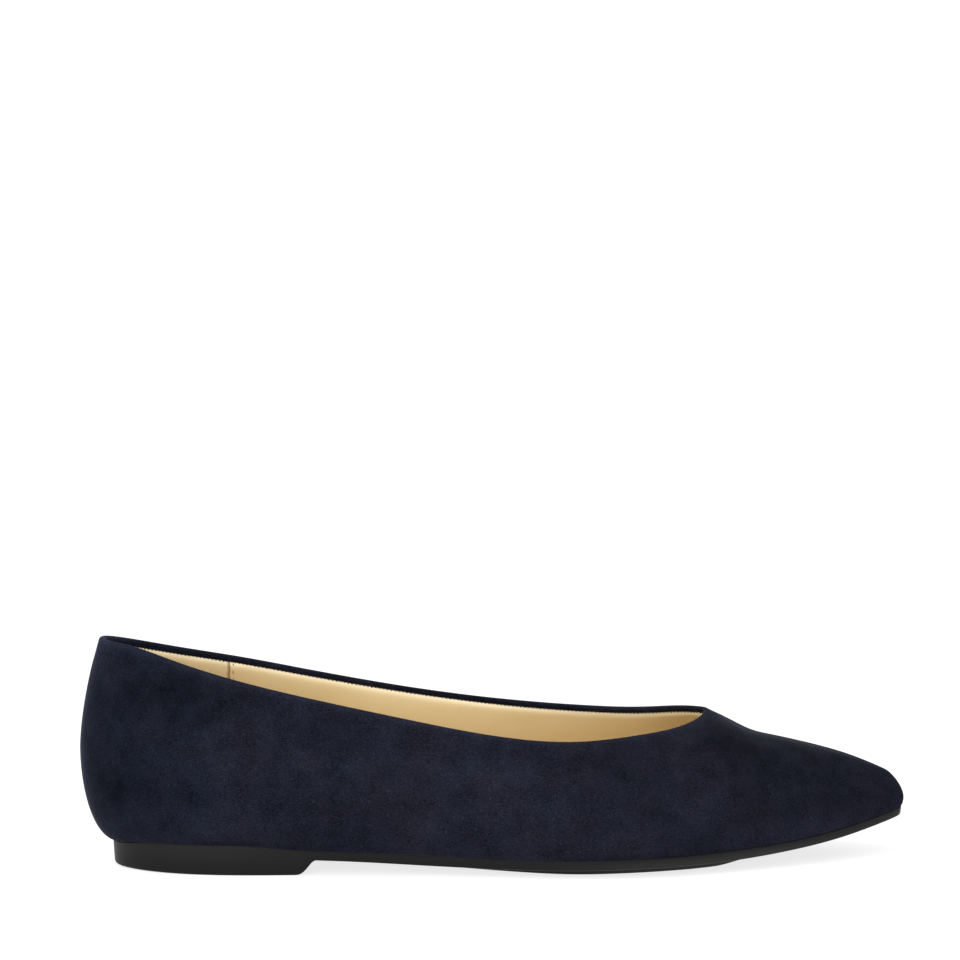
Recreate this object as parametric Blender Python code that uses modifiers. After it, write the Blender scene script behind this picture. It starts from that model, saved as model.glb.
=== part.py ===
"""Pointed ballet flat for the right foot: a hollow suede upper, a moulded low-heeled outsole and an insole.

The toe points along +X, the outer (lateral) side faces -Y, and the floor is at Z = 0.
Stations are shares of a line's own length, from the back of the heel (0) to the toe (1).
"""

import math

import bmesh
import bpy
import numpy as np

MM = 0.001

# Driving sizes
LENGTH = 256 * MM
BALL_WIDTH = 77.4 * MM
BACK_HEIGHT = 71 * MM
INSTEP_HEIGHT = 46.5 * MM
WALL = 1.8 * MM
GAP = 0.3 * MM

# Where each line of the last starts and ends, measured from the back of the heel
FEATHER_BACK, FEATHER_TIP = 10.5 * MM, 254.4 * MM
BELLY_BACK, BELLY_TIP = 0.0, LENGTH
COLLAR_BACK, RIDGE_TIP = 6.6 * MM, 247 * MM
MARGIN_BACK, MARGIN_TIP = 17 * MM, 240 * MM
MARGIN_WIDTH_SHARE = 0.78
APEX = 0.78
SHOULDER_POWER = 1.6
CREST_BAND = 0.4
CREST_START, CREST_FULL = 0.68, 0.83
EASE_TURN = 0.11
EASE_POINTS = 40
EASE_POWER = 8

# Outsole
SOLE_PROUD = 0.3 * MM
SOLE_BACK, SOLE_TIP = FEATHER_BACK - 0.6 * MM, FEATHER_TIP + 0.6 * MM
HEEL_FRONT, BREAST_FRONT = 66 * MM, 73.6 * MM
BREAST_POWER = 2.2
HEEL_TAPER = 0.4 * MM
SOLE_TAPER = 0.3 * MM
HEEL_BEVEL = 0.5 * MM
SOLE_BEVEL = 0.4 * MM
PAD_BACK, PAD_FULL, PAD_FRONT = 96 * MM, 158 * MM, 207 * MM
PAD_DEPTH = 1.2 * MM
PAD_INSET = 2.0 * MM
PAD_STEP = 0.6 * MM
PAD_FADE = 12 * MM
CROWN = 1.8 * MM
CROWN_FADE, CROWN_FRONT = 188 * MM, 225 * MM

# Insole
INSOLE_BACK, INSOLE_TIP = 13.5 * MM, 246 * MM
INSOLE_THICKNESS = 2.4 * MM
INSOLE_INSET = 1.8 * MM
INSOLE_ROUND = 0.7 * MM
INSOLE_PLAY = 1.8 * MM

# Mesh density
COLLAR_STEPS = 32
THROAT_CROWDING = 2.0
VAMP_STEPS = 14
TUCK_ANGLES = np.radians([24, 42, 58, 75, 90])
SIDE_STEPS = 9
SOLE_ROWS = 44
BREAST_ROWS = 6

SUEDE_NAVY = (0.012, 0.016, 0.035, 1.0)
RUBBER_BLACK = (0.022, 0.022, 0.022, 1.0)
LINING_BEIGE = (0.68, 0.50, 0.27, 1.0)


def table(names, rows):
    """A short table as named columns."""
    return dict(zip(names.split(), np.array(rows, float).T))


# Sections round the last. Widths are shares of the ball width to each side of the axis, belly_up is a share
# of the back height, and fullness goes from a straight shoulder (0) to a quarter ellipse (1).
SECTIONS = table(
    "along sole_lateral sole_medial belly_lateral belly_medial belly_up fullness",
    [
        (0.000, 0.000, 0.000, 0.000, 0.000, 0.51, 0.0),
        (0.040, 0.205, 0.205, 0.225, 0.225, 0.48, 0.0),
        (0.100, 0.290, 0.290, 0.335, 0.335, 0.46, 0.0),
        (0.190, 0.325, 0.325, 0.390, 0.390, 0.42, 0.0),
        (0.290, 0.330, 0.310, 0.410, 0.395, 0.37, 0.0),
        (0.400, 0.360, 0.290, 0.430, 0.380, 0.31, 0.0),
        (0.500, 0.420, 0.335, 0.465, 0.420, 0.27, 0.0),
        (0.585, 0.465, 0.420, 0.500, 0.475, 0.24, 0.05),
        (0.655, 0.468, 0.460, 0.499, 0.500, 0.23, 0.15),
        (0.720, 0.433, 0.455, 0.460, 0.487, 0.23, 0.35),
        (0.780, 0.362, 0.415, 0.388, 0.445, 0.235, 0.5),
        (0.845, 0.271, 0.345, 0.292, 0.370, 0.25, 0.5),
        (0.905, 0.165, 0.262, 0.185, 0.282, 0.265, 0.5),
        (0.960, 0.052, 0.175, 0.068, 0.190, 0.26, 0.45),
        (1.000, -0.065, 0.065, -0.065, 0.065, 0.245, 0.25),
    ],
)

# The collar, from the back to the point of the throat. Widths are shares of the ball width, and heights are
# shares of the back height.
COLLAR = table(
    "along lateral medial up_lateral up_medial",
    [
        (0.000, 0.000, 0.000, 1.000, 1.000),
        (0.015, 0.095, 0.095, 0.990, 0.988),
        (0.050, 0.172, 0.172, 0.974, 0.957),
        (0.105, 0.248, 0.248, 0.919, 0.911),
        (0.180, 0.305, 0.305, 0.846, 0.858),
        (0.270, 0.335, 0.333, 0.772, 0.793),
        (0.380, 0.352, 0.346, 0.690, 0.721),
        (0.500, 0.360, 0.340, 0.608, 0.662),
        (0.600, 0.345, 0.312, 0.572, 0.632),
        (0.680, 0.280, 0.258, 0.584, 0.626),
        (0.740, 0.172, 0.180, 0.606, 0.645),
        (0.768, 0.070, 0.108, 0.628, 0.654),
        (0.780, -0.040, 0.040, INSTEP_HEIGHT / BACK_HEIGHT, INSTEP_HEIGHT / BACK_HEIGHT),
    ],
)

# The ridge of the vamp, from the point of the throat to the toe. Heights are shares of the instep height.
RIDGE = table(
    "along medial up",
    [
        (0.780, 0.040, 1.000),
        (0.800, 0.040, 0.942),
        (0.825, 0.041, 0.864),
        (0.860, 0.043, 0.807),
        (0.910, 0.048, 0.745),
        (0.960, 0.056, 0.666),
        (1.000, 0.065, 0.578),
    ],
)

# Height of the outsole's upper face, where the feather edge of the upper sits, and thickness of the sole's
# edge under it in front of the heel, by share of the sole's length.
SEAT = table(
    "along up_mm edge_mm",
    [
        (0.00, 6.9, 2.2),
        (0.04, 7.3, 2.2),
        (0.08, 8.7, 2.2),
        (0.13, 9.0, 2.2),
        (0.20, 8.9, 2.4),
        (0.26, 7.7, 2.7),
        (0.32, 6.7, 2.5),
        (0.42, 6.0, 3.0),
        (0.53, 5.0, 2.6),
        (0.60, 5.1, 2.7),
        (0.71, 5.7, 2.7),
        (0.80, 6.6, 2.8),
        (0.86, 7.6, 2.5),
        (0.93, 9.9, 2.4),
        (1.00, 13.8, 2.2),
    ],
)


def spline(keys, values, at):
    """Natural cubic through (keys, values), read at the given places."""
    step = np.diff(keys)
    slope = np.diff(values) / step
    count = len(keys)
    system = np.eye(count)
    bend = np.zeros(count)
    for i in range(1, count - 1):
        system[i, i - 1 : i + 2] = step[i - 1], 2 * (step[i - 1] + step[i]), step[i]
        bend[i] = 6 * (slope[i] - slope[i - 1])
    bend = np.linalg.solve(system, bend)
    at = np.asarray(at, float)
    i = np.clip(np.searchsorted(keys, at) - 1, 0, count - 2)
    after, before, span = at - keys[i], keys[i + 1] - at, step[i]
    curved = (bend[i] * before**3 + bend[i + 1] * after**3) / (6 * span)
    left = (values[i] / span - bend[i] * span / 6) * before
    right = (values[i + 1] / span - bend[i + 1] * span / 6) * after
    return curved + left + right


def turn_of(share):
    """Angle round the last of a station: 0 at the back, pi at the toe."""
    return np.arccos(np.clip(1 - 2 * np.asarray(share, float), -1, 1))


def share_of(turn):
    return (1 - np.cos(turn)) / 2


def round_last(lateral, medial, turn):
    """A value that runs round the whole last, from its lateral and medial columns."""
    keys = turn_of(SECTIONS["along"])
    loop_keys = np.concatenate([keys, 2 * math.pi - keys[-2:0:-1]])
    loop_values = np.concatenate([lateral, medial[-2:0:-1]])
    whole = 2 * math.pi
    keys = np.concatenate([loop_keys - whole, loop_keys, loop_keys + whole])
    return spline(keys, np.tile(loop_values, 3), turn)


def line_of(turn, back, tip, lateral, medial):
    """Plan of one line of the last: distance along, and the side offset."""
    along = back + share_of(turn) * (tip - back)
    side = round_last(-SECTIONS[lateral], SECTIONS[medial], turn) * BALL_WIDTH
    return along, side


def seat_height(along):
    return spline(SEAT["along"], SEAT["up_mm"], np.asarray(along) / FEATHER_TIP) * MM


def feather_line(turn):
    along, side = line_of(turn, FEATHER_BACK, FEATHER_TIP, "sole_lateral", "sole_medial")
    return np.stack([along, side, seat_height(along) + GAP], axis=-1)


def margin_line(turn):
    """Inner edge of the lasting margin, under the insole."""
    along, side = line_of(turn, MARGIN_BACK, MARGIN_TIP, "sole_lateral", "sole_medial")
    return np.stack([along, side * MARGIN_WIDTH_SHARE, seat_height(along) + GAP], axis=-1)


def belly_line(turn):
    along, side = line_of(turn, BELLY_BACK, BELLY_TIP, "belly_lateral", "belly_medial")
    up = round_last(SECTIONS["belly_up"], SECTIONS["belly_up"], turn) * BACK_HEIGHT
    return np.stack([along, side, up], axis=-1)


def collar_key(turn):
    """Place on the collar that moves evenly round the end of the throat."""
    return np.arcsin(np.clip(turn / turn_of(APEX), -1, 1))


def top_line(turn):
    """The collar back to the throat, and the ridge of the vamp from there to the toe."""
    turn = np.where(turn > math.pi, turn - 2 * math.pi, turn)
    share = share_of(turn)
    along = COLLAR_BACK + share * (RIDGE_TIP - COLLAR_BACK)
    keys = collar_key(turn_of(COLLAR["along"]))
    keys = np.concatenate([-keys[:0:-1], keys])
    width = np.concatenate([COLLAR["medial"][:0:-1], -COLLAR["lateral"]]) * BALL_WIDTH
    height = np.concatenate([COLLAR["up_medial"][:0:-1], COLLAR["up_lateral"]]) * BACK_HEIGHT
    ridge_side = spline(RIDGE["along"], RIDGE["medial"], share) * BALL_WIDTH
    ridge_up = spline(RIDGE["along"], RIDGE["up"], share) * INSTEP_HEIGHT
    on_ridge = share > APEX - 1e-9
    side = np.where(on_ridge, ridge_side, spline(keys, width, collar_key(turn)))
    up = np.where(on_ridge, ridge_up, spline(keys, height, collar_key(turn)))
    return np.stack([along, side, up], axis=-1)


def throat_ease(turn):
    """How far the sides near the point of the throat are eased from the top line towards its average."""
    offsets = EASE_TURN * np.linspace(-1, 1, EASE_POINTS + 2)[1:-1]
    weights = 1 + np.cos(offsets / EASE_TURN * math.pi)
    average = sum(weight * top_line(turn + offset) for offset, weight in zip(offsets, weights)) / weights.sum()
    from_back = np.minimum(turn, 2 * math.pi - turn)
    near = np.exp(-(((from_back - turn_of(APEX)) / (2 * EASE_TURN)) ** 2))
    return (average - top_line(turn)) * near[:, None]


def smooth_step(value, start, end):
    share = np.clip((value - start) / (end - start), 0, 1)
    return share * share * (3 - 2 * share)


def shoulder(step, fullness, crest):
    """How far in and up the shoulder has come, for a step from the belly (0) to the top line (1)."""
    straight = step**SHOULDER_POWER
    inward = straight + (1 - math.cos(step * math.pi / 2) - straight) * fullness
    upward = step + (math.sin(step * math.pi / 2) - step) * fullness
    dip = crest * (1 - fullness) * CREST_BAND / 2
    over = max(0.0, (step - 1 + CREST_BAND) / CREST_BAND)
    return inward, (upward - dip * over**2) / (1 - dip)


def upper_columns(turn):
    """Points up the outside of the upper for each turn: margin, feather edge, belly, top line."""
    margin, feather = margin_line(turn), feather_line(turn)
    belly, top_edge, ease = belly_line(turn), top_line(turn), throat_ease(turn)
    fullness = round_last(SECTIONS["fullness"], SECTIONS["fullness"], turn)[:, None]
    crest = smooth_step(share_of(turn), CREST_START, CREST_FULL)[:, None]
    middle = (margin + feather) / 2
    middle[:, 2] = seat_height(middle[:, 0]) + GAP
    levels = [margin, middle, feather]
    for angle in TUCK_ANGLES:
        level = feather + (belly - feather) * math.sin(angle)
        level[:, 2] = feather[:, 2] + (belly[:, 2] - feather[:, 2]) * (1 - math.cos(angle))
        levels.append(level)
    for step in range(1, SIDE_STEPS + 1):
        inward, upward = shoulder(step / SIDE_STEPS, fullness, crest)
        top = top_edge + ease * (1 - (step / SIDE_STEPS) ** EASE_POWER)
        level = belly + (top - belly) * inward
        level[:, 2] = belly[:, 2] + (top[:, 2] - belly[:, 2]) * upward[:, 0]
        levels.append(level)
    return np.stack(levels, axis=1)


def placed(points):
    """Moves points from heel-based distances to the part's frame, with its origin under the middle."""
    belly = belly_line(np.linspace(0, 2 * math.pi, 721))
    middle = (belly[:, 1].min() + belly[:, 1].max()) / 2
    return points - np.array([LENGTH / 2, middle, 0])


def clear_scene():
    for obj in list(bpy.data.objects):
        bpy.data.objects.remove(obj, do_unlink=True)


def material(name, colour, roughness):
    made = bpy.data.materials.new(name)
    made.use_nodes = True
    shader = made.node_tree.nodes["Principled BSDF"]
    shader.inputs["Base Color"].default_value = colour
    shader.inputs["Roughness"].default_value = roughness
    shader.inputs["Metallic"].default_value = 0.0
    return made


def mesh_object(name, points, faces, finish, collection):
    """A named object from points and faces, with coincident points welded."""
    mesh = bpy.data.meshes.new(name)
    mesh.from_pydata(placed(points).tolist(), [], faces)
    edit = bmesh.new()
    edit.from_mesh(mesh)
    bmesh.ops.remove_doubles(edit, verts=edit.verts, dist=0.01 * MM)
    bmesh.ops.dissolve_degenerate(edit, edges=edit.edges, dist=0.001 * MM)
    edit.to_mesh(mesh)
    edit.free()
    mesh.shade_smooth()
    mesh.set_sharp_from_angle(angle=math.radians(35))
    mesh.materials.append(finish)
    obj = bpy.data.objects.new(name, mesh)
    collection.objects.link(obj)
    return obj


def make_upper(collection):
    apex_turn = float(turn_of(APEX))
    lateral = np.concatenate(
        [
            apex_turn * (1 - np.linspace(1, 0, COLLAR_STEPS, endpoint=False) ** THROAT_CROWDING),
            np.linspace(apex_turn, math.pi, VAMP_STEPS, endpoint=False),
            [math.pi],
        ]
    )
    turn = np.concatenate([lateral, 2 * math.pi - lateral[-2:0:-1]])
    grid = upper_columns(turn)
    columns, levels = grid.shape[:2]
    faces = []
    for j in range(columns):
        n = (j + 1) % columns
        for k in range(levels - 1):
            faces.append((j * levels + k, n * levels + k, n * levels + k + 1, j * levels + k + 1))
    finish = material("navy_suede", SUEDE_NAVY, 0.95)
    upper = mesh_object("upper", grid.reshape(-1, 3), faces, finish, collection)
    wall = upper.modifiers.new("wall", "SOLIDIFY")
    wall.thickness = WALL
    wall.offset = -1
    wall.use_even_offset = True
    wall.use_quality_normals = True
    return upper


def sole_stations():
    """Distances along the sole: even round the outline, with more at the breast and at the pad's ends."""
    even = SOLE_BACK + share_of(np.linspace(0, math.pi, SOLE_ROWS + 1)) * (SOLE_TIP - SOLE_BACK)
    breast = np.linspace(HEEL_FRONT, BREAST_FRONT, BREAST_ROWS)
    fade = np.linspace(PAD_FRONT - PAD_FADE, PAD_FRONT, 4)
    extra = np.concatenate([breast, [PAD_BACK], fade])
    clear = [a for a in even if np.abs(extra - a).min() > 1.5 * MM]
    return np.sort(np.concatenate([clear, extra]))


def both_sides(lateral):
    """Turns all the way round from those of the lateral side, which go from the back to the toe."""
    return np.concatenate([lateral, 2 * math.pi - lateral[-2:0:-1]])


def drawn_in(line, distance):
    """A closed line moved inwards in plan, by a distance that may differ round it but stops at its middle."""
    run = np.roll(line, -1, axis=0) - np.roll(line, 1, axis=0)
    inward = np.stack([-run[:, 1], run[:, 0]], axis=-1)
    inward /= np.linalg.norm(inward, axis=1, keepdims=True)
    other = line[-np.arange(len(line))]
    room = 0.4 * np.abs(other[:, 1] - line[:, 1]) / np.maximum(np.abs(inward[:, 1]), 1e-6)
    room = np.where(room < 1e-9, np.inf, room)
    return line + inward * np.minimum(distance, room)[:, None]


def sole_outline(turn, back, tip):
    return np.stack(line_of(turn, back, tip, "sole_lateral", "sole_medial"), axis=-1)


def sole_edge(along):
    return spline(SEAT["along"], SEAT["edge_mm"], np.asarray(along) / FEATHER_TIP) * MM


def pad_share(along):
    return smooth_step(along, PAD_BACK, PAD_FULL) * (1 - smooth_step(along, PAD_FRONT - PAD_FADE, PAD_FRONT))


def sole_floor(along, across, pad):
    """Height of the sole's lower face, where across is 0 on the middle line and 1 at the edge."""
    edge = seat_height(along) - sole_edge(along) - pad * PAD_DEPTH * pad_share(along)
    crown = CROWN * smooth_step(along, PAD_BACK, PAD_FULL) * (1 - smooth_step(along, CROWN_FADE, CROWN_FRONT))
    crowned = edge - crown * (1 - across**2)
    breast = smooth_step(along, HEEL_FRONT, BREAST_FRONT) ** BREAST_POWER
    return np.maximum(0, crowned * breast)


def lifted(line, heights):
    return np.column_stack([line, heights])


def sole_rings(turn):
    """Closed lines round the sole: upper edge, foot of the side, lower face, and both edges of the pad."""
    edge = drawn_in(sole_outline(turn, SOLE_BACK, SOLE_TIP), np.full(len(turn), -SOLE_PROUD))
    heel = 1 - smooth_step(edge[:, 0], HEEL_FRONT, BREAST_FRONT)
    taper = SOLE_TAPER + (HEEL_TAPER - SOLE_TAPER) * heel
    bevel = SOLE_BEVEL + (HEEL_BEVEL - SOLE_BEVEL) * heel
    half = np.maximum(np.abs(edge[-np.arange(len(edge)), 1] - edge[:, 1]) / 2, MM)
    rings = [lifted(edge, seat_height(edge[:, 0]))]
    low = drawn_in(edge, taper)
    rings.append(lifted(low, sole_floor(low[:, 0], 1.0, 0) + bevel))
    flat = drawn_in(edge, taper + bevel)
    rings.append(lifted(flat, sole_floor(flat[:, 0], 1.0, 0)))
    for inset, pad in ((PAD_INSET, 0), (PAD_INSET + PAD_STEP, 1)):
        line = drawn_in(edge, taper + bevel + inset)
        across = np.clip(1 - (taper + bevel + inset) / half, 0, 1)
        rings.append(lifted(line, sole_floor(line[:, 0], across, pad)))
    return rings


def rows_object(name, rows, finish, collection):
    """A closed solid from cross-sections of equal length, the first and last drawn to a point or an edge."""
    points = np.array(rows)
    count, width = points.shape[:2]
    faces = []
    for i in range(count - 1):
        for k in range(width):
            n = (k + 1) % width
            faces.append((i * width + k, i * width + n, (i + 1) * width + n, (i + 1) * width + k))
    obj = mesh_object(name, points.reshape(-1, 3), faces, finish, collection)
    edit = bmesh.new()
    edit.from_mesh(obj.data)
    bmesh.ops.holes_fill(edit, edges=edit.edges, sides=0)
    bmesh.ops.recalc_face_normals(edit, faces=edit.faces)
    edit.to_mesh(obj.data)
    edit.free()
    return obj


def make_outsole(collection):
    lateral = turn_of((sole_stations() - SOLE_BACK) / (SOLE_TIP - SOLE_BACK))
    turn = both_sides(lateral)
    rings = sole_rings(turn)
    rows = []
    for i in range(len(lateral)):
        j = -i % len(turn)
        near, far = rings[-1][i], rings[-1][j]
        across = (far[1] - near[1]) / max(rings[0][j][1] - rings[0][i][1], MM)
        sole = []
        for share in np.linspace(0, 1, 9)[1:-1]:
            point = near + (far - near) * share
            point[2] = sole_floor(point[0], abs(1 - 2 * share) * across, 1)
            sole.append(point)
        rows.append([ring[i] for ring in rings] + sole + [ring[j] for ring in rings[::-1]])
    return rows_object("outsole", rows, material("black_rubber", RUBBER_BLACK, 0.6), collection)


def wall_line(turn, height):
    """Inside face of the upper's wall in plan, at a height over the feather edge."""
    feather, belly = feather_line(turn), belly_line(turn)
    angle = np.arccos(np.clip(1 - height / (belly - feather)[:, 2], 0, 1))
    outside = feather[:, :2] + (belly - feather)[:, :2] * np.sin(angle)[:, None]
    return drawn_in(outside, np.full(len(turn), WALL + INSOLE_PLAY))


def make_insole(collection):
    lateral = np.linspace(0, math.pi, SOLE_ROWS + 1)
    turn = both_sides(lateral)
    foot = drawn_in(sole_outline(turn, INSOLE_BACK, INSOLE_TIP), np.full(len(turn), INSOLE_INSET))
    brim = wall_line(turn, INSOLE_THICKNESS + WALL)
    top = drawn_in(brim, np.full(len(turn), INSOLE_ROUND))
    lift = 2 * GAP + WALL
    rings = [
        lifted(foot, seat_height(foot[:, 0]) + lift),
        lifted(brim, seat_height(brim[:, 0]) + lift + INSOLE_THICKNESS - INSOLE_ROUND),
        lifted(top, seat_height(top[:, 0]) + lift + INSOLE_THICKNESS),
    ]
    rows = []
    for i in range(len(lateral)):
        j = -i % len(turn)
        rows.append([ring[i] for ring in rings] + [ring[j] for ring in rings[::-1]])
    return rows_object("insole", rows, material("beige_lining", LINING_BEIGE, 0.6), collection)


def main():
    clear_scene()
    collection = bpy.data.collections.new("ballet_flat")
    bpy.context.scene.collection.children.link(collection)
    make_upper(collection)
    make_outsole(collection)
    make_insole(collection)


main()
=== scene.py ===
# %% [markdown]
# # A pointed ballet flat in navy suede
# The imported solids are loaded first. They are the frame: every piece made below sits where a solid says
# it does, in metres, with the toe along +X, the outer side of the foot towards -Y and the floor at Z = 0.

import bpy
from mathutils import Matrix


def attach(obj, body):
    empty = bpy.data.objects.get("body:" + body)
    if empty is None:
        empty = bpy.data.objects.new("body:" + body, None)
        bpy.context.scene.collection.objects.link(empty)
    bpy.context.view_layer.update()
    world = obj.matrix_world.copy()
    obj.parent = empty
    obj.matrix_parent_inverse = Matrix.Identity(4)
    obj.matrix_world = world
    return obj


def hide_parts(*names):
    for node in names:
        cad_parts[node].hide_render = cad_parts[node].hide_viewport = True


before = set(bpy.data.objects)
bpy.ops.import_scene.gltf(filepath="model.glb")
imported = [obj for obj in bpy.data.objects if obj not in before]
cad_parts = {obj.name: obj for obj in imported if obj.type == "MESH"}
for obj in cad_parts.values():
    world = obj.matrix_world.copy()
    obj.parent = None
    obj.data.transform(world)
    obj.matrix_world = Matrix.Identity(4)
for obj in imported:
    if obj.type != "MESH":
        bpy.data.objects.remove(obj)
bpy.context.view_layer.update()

import math

import bmesh
import bpy
import numpy as np
from mathutils import Quaternion, Vector

MM = 0.001

# %% [markdown]
# ## Camera
# A long lens far away keeps the sole nearly straight, as a catalogue picture does. The camera looks
# square at the outer side of the shoe from a little above, so that a strip of the lining shows over the
# near collar. The shoe lies low in the frame, so the camera aims at a point above it instead of shifting
# the lens. A very small roll lets the toe end stand a touch higher, as it does in the picture.

# %% Camera
CAMERA_EYE = Vector((-0.00028, -1.28399, 0.23822))
CAMERA_FORWARD = Vector((-0.00219684, 0.99567195, -0.09291152))
CAMERA_ROLL = math.radians(-0.62)
LENS_MM, SENSOR_MM = 156.66, 36

lens = bpy.data.cameras.new("catalogue_lens")
lens.lens = LENS_MM
lens.sensor_width = SENSOR_MM
camera = bpy.data.objects.new("catalogue_camera", lens)
bpy.context.scene.collection.objects.link(camera)
camera.location = CAMERA_EYE
camera.rotation_mode = "QUATERNION"
level_turn = CAMERA_FORWARD.to_track_quat("-Z", "Y")
camera.rotation_quaternion = level_turn @ Quaternion((0, 0, 1), CAMERA_ROLL)
bpy.context.scene.camera = camera
print("lens", LENS_MM, "mm, distance", round((CAMERA_EYE - Vector((0, 0, 0.035))).length, 3), "m")

# %% [markdown]
# ## Shader sums
# A material is a net of nodes, and long nets are hard to read as a list of links. The class below wraps
# one socket, so that a sum such as `1 - mask * 0.3` can be written as a sum and adds its own Math nodes.
# Every other node comes from its one method, `node`, which takes the type, the settings and what goes
# into the sockets.

# %% Wire
class Wire:
    """An output socket that can be used in sums."""

    def __init__(self, socket):
        self.socket = socket
        self.tree = socket.id_data

    def node(self, kind, settings=None, sockets=None, output=0):
        made = self.tree.nodes.new(kind)
        for name, value in (settings or {}).items():
            setattr(made, name, value)
        for name, value in (sockets or {}).items():
            if isinstance(value, Wire):
                self.tree.links.new(value.socket, made.inputs[name])
            else:
                made.inputs[name].default_value = value
        return Wire(made.outputs[output])

    def into(self, shader, name):
        self.tree.links.new(self.socket, shader.inputs[name])

    def sum_of(self, operation, first, second):
        return self.node("ShaderNodeMath", {"operation": operation}, {0: first, 1: second})

    def __add__(self, other):
        return self.sum_of("ADD", self, other)

    def __radd__(self, other):
        return self.sum_of("ADD", other, self)

    def __sub__(self, other):
        return self.sum_of("SUBTRACT", self, other)

    def __rsub__(self, other):
        return self.sum_of("SUBTRACT", other, self)

    def __mul__(self, other):
        return self.sum_of("MULTIPLY", self, other)

    def __rmul__(self, other):
        return self.sum_of("MULTIPLY", other, self)


print("sums ready: +, - and *, with a number on either side")

# %% [markdown]
# Four small helpers go with it. `new_finish` starts a material and sets what is the same all over on the
# shader's own sockets. `noise` and `blend` are the two nodes that nearly every finish here uses: one
# breaks a surface up, the other goes from one colour to another. `bump` stands for relief too fine to
# model. Places are in millimetres, so a noise scale of 0.2 means a patch of 5 mm. A Mix node has several
# sockets of one name, for numbers, vectors and colours, so those for colours are picked by their number.

# %% Finish helpers
MIX_SHARE, MIX_FIRST, MIX_SECOND, MIX_RESULT = 0, 6, 7, 2


def new_finish(name, **constants):
    """A material, its shader, and a Wire with the place on the object in millimetres."""
    made = bpy.data.materials.new(name)
    made.use_nodes = True
    shader = made.node_tree.nodes["Principled BSDF"]
    for socket, value in constants.items():
        shader.inputs[socket.replace("_", " ")].default_value = value
    start = Wire(shader.outputs[0])
    place = start.node("ShaderNodeTexCoord", output="Object")
    in_mm = place.node("ShaderNodeVectorMath", {"operation": "SCALE"}, {0: place, "Scale": 1 / MM})
    return made, shader, in_mm


def noise(place, scale, detail=2.0, stretch=None, roughness=0.5):
    """A noise from 0 to 1 about 0.5, with patches of 1 / scale millimetres."""
    if stretch:
        place = place.node("ShaderNodeVectorMath", {"operation": "MULTIPLY"}, {0: place, 1: stretch})
    return place.node(
        "ShaderNodeTexNoise",
        {"noise_dimensions": "3D"},
        {"Vector": place, "Scale": scale, "Detail": detail, "Roughness": roughness},
    )


def blend(share, first, second):
    """From the first colour to the second as share goes from 0 to 1."""
    sockets = {MIX_SHARE: share, MIX_FIRST: first, MIX_SECOND: second}
    return share.node("ShaderNodeMix", {"data_type": "RGBA", "clamp_factor": True}, sockets, MIX_RESULT)


def bump(height, strength, depth_mm):
    """Relief too fine to model, which only tips the light, from a height of 0 to 1."""
    sockets = {"Height": height, "Strength": strength, "Distance": depth_mm * MM}
    return height.node("ShaderNodeBump", None, sockets)


print("helpers ready")

# %% [markdown]
# ## Floor and light
# A white sweep runs under the shoe and curves up behind it, so that no horizon shows. It could be a flat
# plane with a white sky, but a plane ends somewhere, and the end shows from other sides. The sweep glows
# a little, as a lit table does, so it goes just past white and only a faint shadow is left at the sole.

# %% Floor sweep
FLOOR_HALF = 3.0
SWEEP_START, SWEEP_RADIUS, SWEEP_TOP, SWEEP_STEPS = 1.4, 0.8, 3.0, 15
PAPER_DARK, PAPER_PALE = (0.30, 0.30, 0.30, 1), (0.31, 0.31, 0.31, 1)


def make_floor():
    profile = [(-FLOOR_HALF, 0.0), (SWEEP_START, 0.0)]
    for angle in np.radians(np.linspace(6, 90, SWEEP_STEPS)):
        profile.append((SWEEP_START + SWEEP_RADIUS * math.sin(angle), SWEEP_RADIUS * (1 - math.cos(angle))))
    profile.append((SWEEP_START + SWEEP_RADIUS, SWEEP_TOP))
    points = [(side * FLOOR_HALF, y, z) for y, z in profile for side in (-1, 1)]
    faces = [(2 * i, 2 * i + 1, 2 * i + 3, 2 * i + 2) for i in range(len(profile) - 1)]
    mesh = bpy.data.meshes.new("white_sweep")
    mesh.from_pydata(points, [], faces)
    mesh.shade_smooth()
    made = bpy.data.objects.new("white_sweep", mesh)
    bpy.context.scene.collection.objects.link(made)
    return made


sweep = make_floor()
paper, paper_shader, paper_place = new_finish(
    "white_paper", Roughness=0.9, Specular_IOR_Level=0.1, Emission_Color=(1, 1, 1, 1), Emission_Strength=0.78
)
blend(noise(paper_place, 0.01), PAPER_DARK, PAPER_PALE).into(paper_shader, "Base Color")
sweep.data.materials.append(paper)
print("sweep faces", len(sweep.data.polygons))

# %% [markdown]
# An even white sky fills every side, as the walls of a light tent do. One wide lamp in front reaches in
# over the near collar to the lining, and a smaller one overhead picks out the collar and the top of the
# vamp. Both are area lamps, since a point lamp would throw hard shadows. The table gives each lamp's
# place, its size in metres and its watts.

# %% Sky and lamps
SKY = 0.6
LAMP_AIM = Vector((0, 0, 0.03))
LAMPS = {
    "front_softbox": ((-0.35, -1.35, 0.70), 1.2, 14.0),
    "top_softbox": ((-0.30, -0.30, 1.30), 0.8, 10.0),
}

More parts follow.
